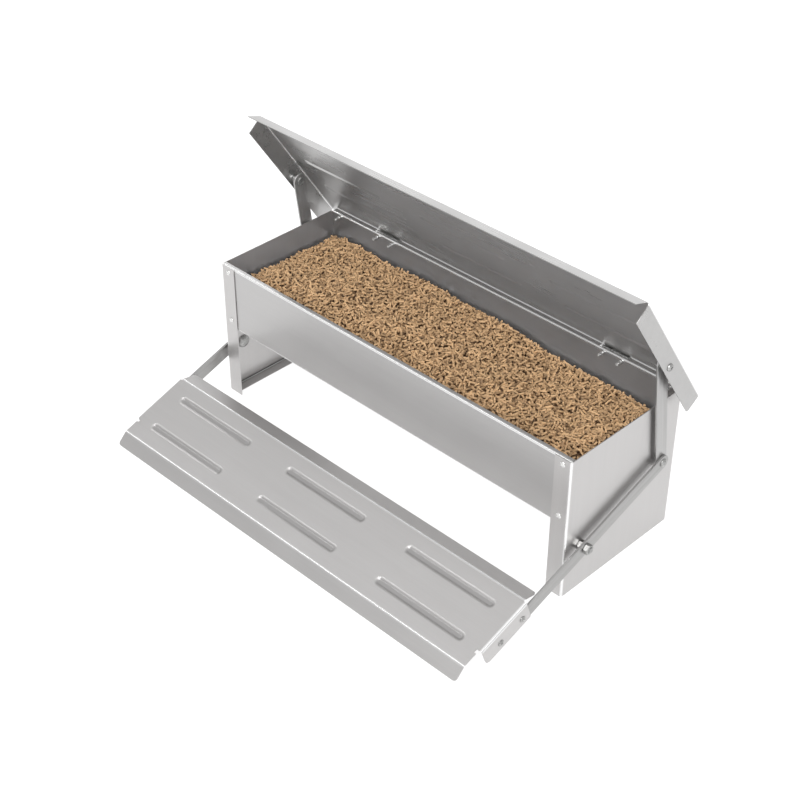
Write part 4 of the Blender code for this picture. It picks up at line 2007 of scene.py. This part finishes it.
@dataclass
class FeedBed:
    """Loose feed pellets heaped in the trough.

    Args:
        half_width: Half the heap's width.
        near: Depth where the heap starts.
        far: Depth where it ends.
        level: Height of the heap's surface at its edges.
        crown: Extra height in its middle.
        pitch: Spacing of the pellets in a layer.
        layers: Number of layers.
        seed: Seed of the scatter.
        sides: Sides round a pellet.
        margin: How far the pellets' middles stay from the walls.
        floor: Height of the bed's underside.
        lengths: A pellet's usual length, its spread, and the shortest and longest.
        radii: The thinnest and thickest pellet's radius.
        drop: How much deeper each layer lies.
    """

    half_width: float = 298.0
    near: float = 2.8
    far: float = 200.0
    level: float = 171.0
    crown: float = 4.0
    pitch: float = 4.4
    layers: int = 3
    seed: int = 11
    sides: int = 6
    margin: float = 5.5
    floor: float = 110.0
    lengths: tuple[float, float, float, float] = (6.8, 1.6, 3.8, 10.0)
    radii: Point = (1.15, 1.4)
    drop: float = 2.8

    def surface(self, x: np.ndarray, y: np.ndarray) -> np.ndarray:
        """Height of the heap at points in millimetres.

        Args:
            x: Distances from the middle.
            y: Depths.

        Returns:
            The heights.
        """
        slide = np.clip((x + 80) / 280, 0, 1)
        level = self.level - 11 * slide * slide * (3 - 2 * slide)
        edge = np.clip((self.half_width - np.abs(x)) / 40, 0, 1)
        along = np.sin(np.pi * np.clip((y - self.near) / (self.far - self.near), 0, 1)) ** 0.7
        ripple = 1.6 * np.sin(x / 23 + 1.3 * np.sin(y / 31)) * np.sin(y / 27 + 0.8)
        ripple += 1.1 * np.sin(x / 61 - y / 43)
        return level + self.crown * along * edge + ripple - 5 * (1 - edge) ** 2

    def pellet(self) -> tuple[np.ndarray, list[tuple[int, ...]]]:
        """One pellet of unit length and unit radius along X.

        Returns:
            Its points and faces.
        """
        rings = ((-0.5, 0.72), (-0.45, 1.0), (0.45, 1.0), (0.5, 0.72))
        points = [
            (x, r * math.cos(math.tau * s / self.sides), r * math.sin(math.tau * s / self.sides))
            for x, r in rings
            for s in range(self.sides)
        ]
        faces: list[tuple[int, ...]] = []
        for ring in range(len(rings) - 1):
            for s in range(self.sides):
                near = (s + 1) % self.sides
                a, b = ring * self.sides, (ring + 1) * self.sides
                faces.append((a + s, a + near, b + near, b + s))
        last = (len(rings) - 1) * self.sides
        faces.append(tuple(reversed(range(self.sides))))
        faces.append(tuple(last + s for s in range(self.sides)))
        return np.array(points), faces

    def build(self, shop: Shop) -> None:
        """Scatter the pellets in layers over a closed bed.

        Args:
            shop: Where pieces are put.
        """
        chance = np.random.default_rng(self.seed)
        usual, spread, shortest, longest = self.lengths
        reach = self.half_width - self.margin
        for layer in range(self.layers):
            across = np.arange(-self.half_width + 5, self.half_width - 4, self.pitch)
            along = np.arange(self.near + 4, self.far - 3, self.pitch)
            grid_x, grid_y = np.meshgrid(across, along)
            count = grid_x.size
            x = grid_x.ravel() + chance.uniform(-0.5, 0.5, count) * self.pitch
            y = grid_y.ravel() + chance.uniform(-0.5, 0.5, count) * self.pitch
            length = np.clip(chance.normal(usual, spread, count), shortest, longest)
            radius = chance.uniform(*self.radii, count)
            x = np.clip(x, -reach, reach)
            y = np.clip(y, self.near + self.margin, self.far - self.margin)
            turn = chance.uniform(0, math.tau, count)
            tilt = chance.normal(0, 0.4, count)
            depth = 2.0 + self.drop * layer + chance.uniform(-1.6, 1.6, count)
            z = self.surface(x, y) - depth
            tone = np.clip(chance.normal(0.85, 0.2, count), 0.2, 1.2)
            self.make_layer(shop, layer, PelletScatter(x, y, z, length, radius, turn, tilt, tone))
        self.make_bed(shop)

    def make_layer(self, shop: Shop, layer: int, lot: PelletScatter) -> None:
        """Build one layer of pellets as one piece.

        Args:
            shop: Where pieces are put.
            layer: The layer's number, from the top.
            lot: Its pellets.
        """
        base, base_faces = self.pellet()
        size = np.stack([lot.length, lot.radius, lot.radius], axis=1)
        local = base[None, :, :] * size[:, None, :]
        sin_t, cos_t = np.sin(lot.tilt)[:, None], np.cos(lot.tilt)[:, None]
        lx = local[..., 0] * cos_t - local[..., 2] * sin_t
        lz = local[..., 0] * sin_t + local[..., 2] * cos_t
        sin_h, cos_h = np.sin(lot.turn)[:, None], np.cos(lot.turn)[:, None]
        wx = lx * cos_h - local[..., 1] * sin_h + lot.x[:, None]
        wy = lx * sin_h + local[..., 1] * cos_h + lot.y[:, None]
        wx = np.clip(wx, -self.half_width, self.half_width)
        wy = np.clip(wy, self.near, self.far)
        points = np.stack([wx, wy, lz + lot.z[:, None]], axis=2).reshape(-1, 3) * MM
        stride = len(base)
        faces = [
            tuple(corner + stride * index for corner in face)
            for index in range(len(lot.x))
            for face in base_faces
        ]
        mesh = bpy.data.meshes.new(f"feed_pellets_{layer}")
        mesh.from_pydata(points.tolist(), [], faces)
        # Painted shade: each point darkens the deeper it lies under the heap's surface, standing in for
        # the shadow between the pellets.
        below = self.surface(wx, wy) - lz - lot.z[:, None]
        painted_depth_shade = np.clip(1.12 - 0.2 * np.maximum(below, 0), 0, 1)
        tone = mesh.attributes.new("shade", "FLOAT", "POINT")
        tone.data.foreach_set("value", (lot.tone[:, None] * painted_depth_shade).ravel().astype(np.float32))
        shop.put(mesh.name, mesh, "pressed_feed", Body.FRAME)

    def make_bed(self, shop: Shop) -> None:
        """Fill the trough under the pellets with a closed lumpy bed.

        Args:
            shop: Where pieces are put.
        """
        lines_x = even_lines(-self.half_width + 0.5, self.half_width - 0.5, 6.0)
        lines_y = even_lines(self.near + 0.5, self.far - 0.5, 6.0)
        sunk = 3.2 * self.layers

        def place(row: int, column: int) -> tuple[float, float, float]:
            """A point of the bed's top, or of its skirt on the outer lines.

            Args:
                row: The grid line in depth.
                column: The grid line across.

            Returns:
                The point in millimetres.
            """
            inner_row = min(max(row - 1, 0), len(lines_y) - 1)
            inner_column = min(max(column - 1, 0), len(lines_x) - 1)
            x, y = lines_x[inner_column], lines_y[inner_row]
            skirt = row in (0, len(lines_y) + 1) or column in (0, len(lines_x) + 1)
            top = float(self.surface(np.array(x), np.array(y))) - sunk
            return (x, y, self.floor if skirt else top)

        mesh = grid_mesh("feed_bed", len(lines_y) + 2, len(lines_x) + 2, place, lambda r, c: 0.0)
        # Painted shade: the bed takes almost the darkest feed colour, standing in for the shadow under
        # the pellets.
        tone = mesh.attributes.new("shade", "FLOAT", "POINT")
        tone.data.foreach_set("value", np.full(len(mesh.vertices), 0.05, np.float32))
        shop.put("feed_bed", mesh, "pressed_feed", Body.FRAME)


# ---------------------------------------------------------------- studio


@dataclass
class Studio:
    """A pale floor, soft lights and the camera.

    Args:
        azimuth: The camera's bearing from the front, towards +X, in degrees.
        elevation: Its height above the horizon, in degrees.
        roll: Its roll, in degrees.
        distance: Its distance from the point that it turns about, in metres.
        turn_point: That point.
        slide: How far the camera slides right and up from there, in metres.
        lens: Focal length in millimetres.
        film: Width of the film in millimetres.
        floor_radius: Radius of the floor in metres.
        floor_glow: How strongly the floor glows by itself.
        floor_lift: How much more it glows where the camera sees it directly.
    """

    azimuth: float = 44.596
    elevation: float = 36.25
    roll: float = 0.20
    distance: float = 2.0462
    turn_point: tuple[float, float, float] = (0.0, 0.08635, 0.15)
    slide: Point = (-0.0477, -0.0539)
    lens: float = 72.58
    film: float = 36.0
    floor_radius: float = 25.0
    floor_glow: float = 1.5
    floor_lift: float = 0.55

    def place_camera(self) -> None:
        """Put the camera at its viewing angle."""
        a, e, r = (math.radians(v) for v in (self.azimuth, self.elevation, self.roll))
        back = Vector((math.sin(a) * math.cos(e), -math.cos(a) * math.cos(e), math.sin(e)))
        right = (-back).cross(Vector((0, 0, 1))).normalized()
        up = right.cross(-back)
        rolled_right = right * math.cos(r) + up * math.sin(r)
        rolled_up = up * math.cos(r) - right * math.sin(r)
        spot = Vector(self.turn_point) + rolled_right * self.slide[0] + rolled_up * self.slide[1]
        data = bpy.data.cameras.new("camera")
        data.lens = self.lens
        data.sensor_width = self.film
        camera = stand("camera", data)
        axes = Matrix((rolled_right, rolled_up, back)).transposed().to_4x4()
        camera.matrix_world = Matrix.Translation(spot + back * self.distance) @ axes
        bpy.context.scene.camera = camera

    def lay_floor(self) -> None:
        """Lay a wide pale floor under the feeder."""
        form = bmesh.new()
        bmesh.ops.create_circle(form, cap_ends=True, segments=96, radius=self.floor_radius)
        mesh = finished_mesh("studio_floor", form)
        floor = stand("studio_floor", mesh)
        material = bpy.data.materials.new("studio_floor")
        material.use_nodes = True
        bench = NodeBench(material.node_tree)
        shader = material.node_tree.nodes["Principled BSDF"]
        place = bench.add("TexCoord")
        mottle = bench.noise(place.outputs["Object"], 3.0, 2.0)
        colour = bench.blend(mottle, (0.39, 0.39, 0.39), (0.41, 0.41, 0.41))
        bench.join(colour, shader.inputs["Base Color"])
        bench.join(colour, shader.inputs["Emission Color"])
        path = bench.add("LightPath")
        lift = bench.math("MULTIPLY", path.outputs["Is Camera Ray"], self.floor_lift)
        bench.join(bench.math("ADD", lift, self.floor_glow), shader.inputs["Emission Strength"])
        shader.inputs["Roughness"].default_value = 0.9
        shader.inputs["Specular IOR Level"].default_value = 0.0
        mesh.materials.append(material)
        floor.location.z = -0.0005

    def add_softbox(self, name: str, toward: Sequence[float], size: Point, glow: float) -> None:
        """Hang a soft light that looks at the feeder, level along its longer side.

        Args:
            name: The light's name.
            toward: Where it hangs, in metres from the feeder's middle.
            size: Its width and height.
            glow: How bright its face is.
        """
        data = bpy.data.lights.new(name, "AREA")
        data.shape = "RECTANGLE"
        data.size, data.size_y = size
        data.energy = glow * math.pi * size[0] * size[1]
        light = stand(name, data)
        place = Vector(toward) + Vector((0.0, 0.0, 0.15))
        back = Vector(toward).normalized()
        along = Vector((0, 1, 0)) if abs(back.x) > 0.7 else Vector((1, 0, 0))
        up = back.cross(along).normalized()
        axes = Matrix((up.cross(back), up, back)).transposed().to_4x4()
        light.matrix_world = Matrix.Translation(place) @ axes
        light.visible_camera = False

    def light(self) -> None:
        """Light the feeder from an even sky and soft boxes that draw its folds."""
        world = bpy.data.worlds.new("studio_sky")
        bpy.context.scene.world = world
        world.use_nodes = True
        bench = NodeBench(world.node_tree)
        sky = world.node_tree.nodes["Background"]
        place = bench.add("TexCoord")
        split = bench.add("SeparateXYZ")
        bench.join(place.outputs["Generated"], split.inputs[0])
        height = bench.ramp(split.outputs["Z"], 0.6, 1.0)
        colour = bench.blend(height, (0.58, 0.58, 0.58), (0.80, 0.80, 0.80))
        path = bench.add("LightPath")
        backdrop = bench.blend(path.outputs["Is Camera Ray"], colour, (1.0, 1.0, 1.0))
        bench.join(backdrop, sky.inputs["Color"])
        sky.inputs["Strength"].default_value = 1.0
        self.add_softbox("front_fold_box", (-1.5, -1.1, 2.2), (2.2, 0.3), 2.6)
        self.add_softbox("rear_fold_box", (-1.7, 1.5, 1.95), (2.2, 0.3), 2.6)
        self.add_softbox("side_fold_box", (2.2, 0.45, 1.95), (1.5, 0.4), 2.0)
        self.add_softbox("lip_box", (-1.4, 2.6, 0.35), (3.4, 0.6), 0.80)
        self.add_softbox("front_box", (1.0, -1.9, 2.0), (2.0, 1.4), 6.5)

    def build(self) -> None:
        """Set up the studio."""
        self.place_camera()
        self.lay_floor()
        self.light()
        scene = bpy.context.scene
        scene.view_settings.view_transform = "Standard"
        scene.view_settings.look = "None"


# ---------------------------------------------------------------- main


def drawing_places(
    joints: Sequence[dict], arm_degrees: float, open_degrees: float
) -> tuple[dict[Body, Matrix], float]:
    """Work out where each body's own drawing sits in the row frame.

    Args:
        joints: The record's joints.
        arm_degrees: How far the arms lean up towards the back at rest.
        open_degrees: How far the lid stands open at rest.

    Returns:
        The matrix of each body's drawing, and the link bars' length in millimetres.
    """
    spots = {joint["name"]: Vector(joint["pos_m"]) for joint in joints}
    pin_depth = 207.5 * MM
    pin = spots["lid_hinge"]
    frame = Matrix.Translation((0, pin.y - pin_depth, 0))
    step_tilt = Matrix.Rotation(math.radians(arm_degrees), 4, "X")
    step = Matrix.Translation(spots["treadle_pivot"]) @ step_tilt
    lid = Matrix.Translation(pin) @ Matrix.Rotation(-math.radians(open_degrees), 4, "X")
    arm_end = step @ Vector((0, StepAssembly.arm_reach * MM, 0))
    top = spots["link_left_pivot"].copy()
    top.x = 0.0
    along = arm_end - top
    lean = Matrix.Rotation(math.atan2(along.y, -along.z), 4, "X")
    link = Matrix.Translation(top) @ lean
    places = {
        Body.FRAME: frame,
        Body.LID: lid,
        Body.STEP: step,
        Body.LINK_LEFT: link,
        Body.LINK_RIGHT: link,
    }
    return places, along.length / MM


def corners(box: tuple[Vector, Vector]) -> list[list[float]]:
    """A box as plain lists of numbers."""
    return [list(corner) for corner in box]


def main() -> None:
    """Load the frame, build every sub-assembly and set up the studio."""
    logging.basicConfig(level=logging.INFO, format="%(message)s")
    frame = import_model()
    rack = FinishRack()
    rack.prepare()
    places, link_length = drawing_places(frame["joints"], arm_degrees=18.92, open_degrees=56.2)
    shop = Shop(rack, places)

    trough = TroughAssembly()
    trough.build_trough(shop)
    trough.build_panels(shop)
    trough.build_rivets(shop)
    HingeDressing().dress(shop, frame["nodes"])
    lid = LidAssembly()
    lid.build_sheet(shop)
    lid.build_bolts(shop)
    step = StepAssembly()
    step.build_plate(shop)
    step.build_arms(shop)
    LinkAssembly(link_length).build(shop)
    PivotAssembly().build(shop)
    FeedBed().build(shop)
    Studio().build()


if __name__ == "__main__":
    main()
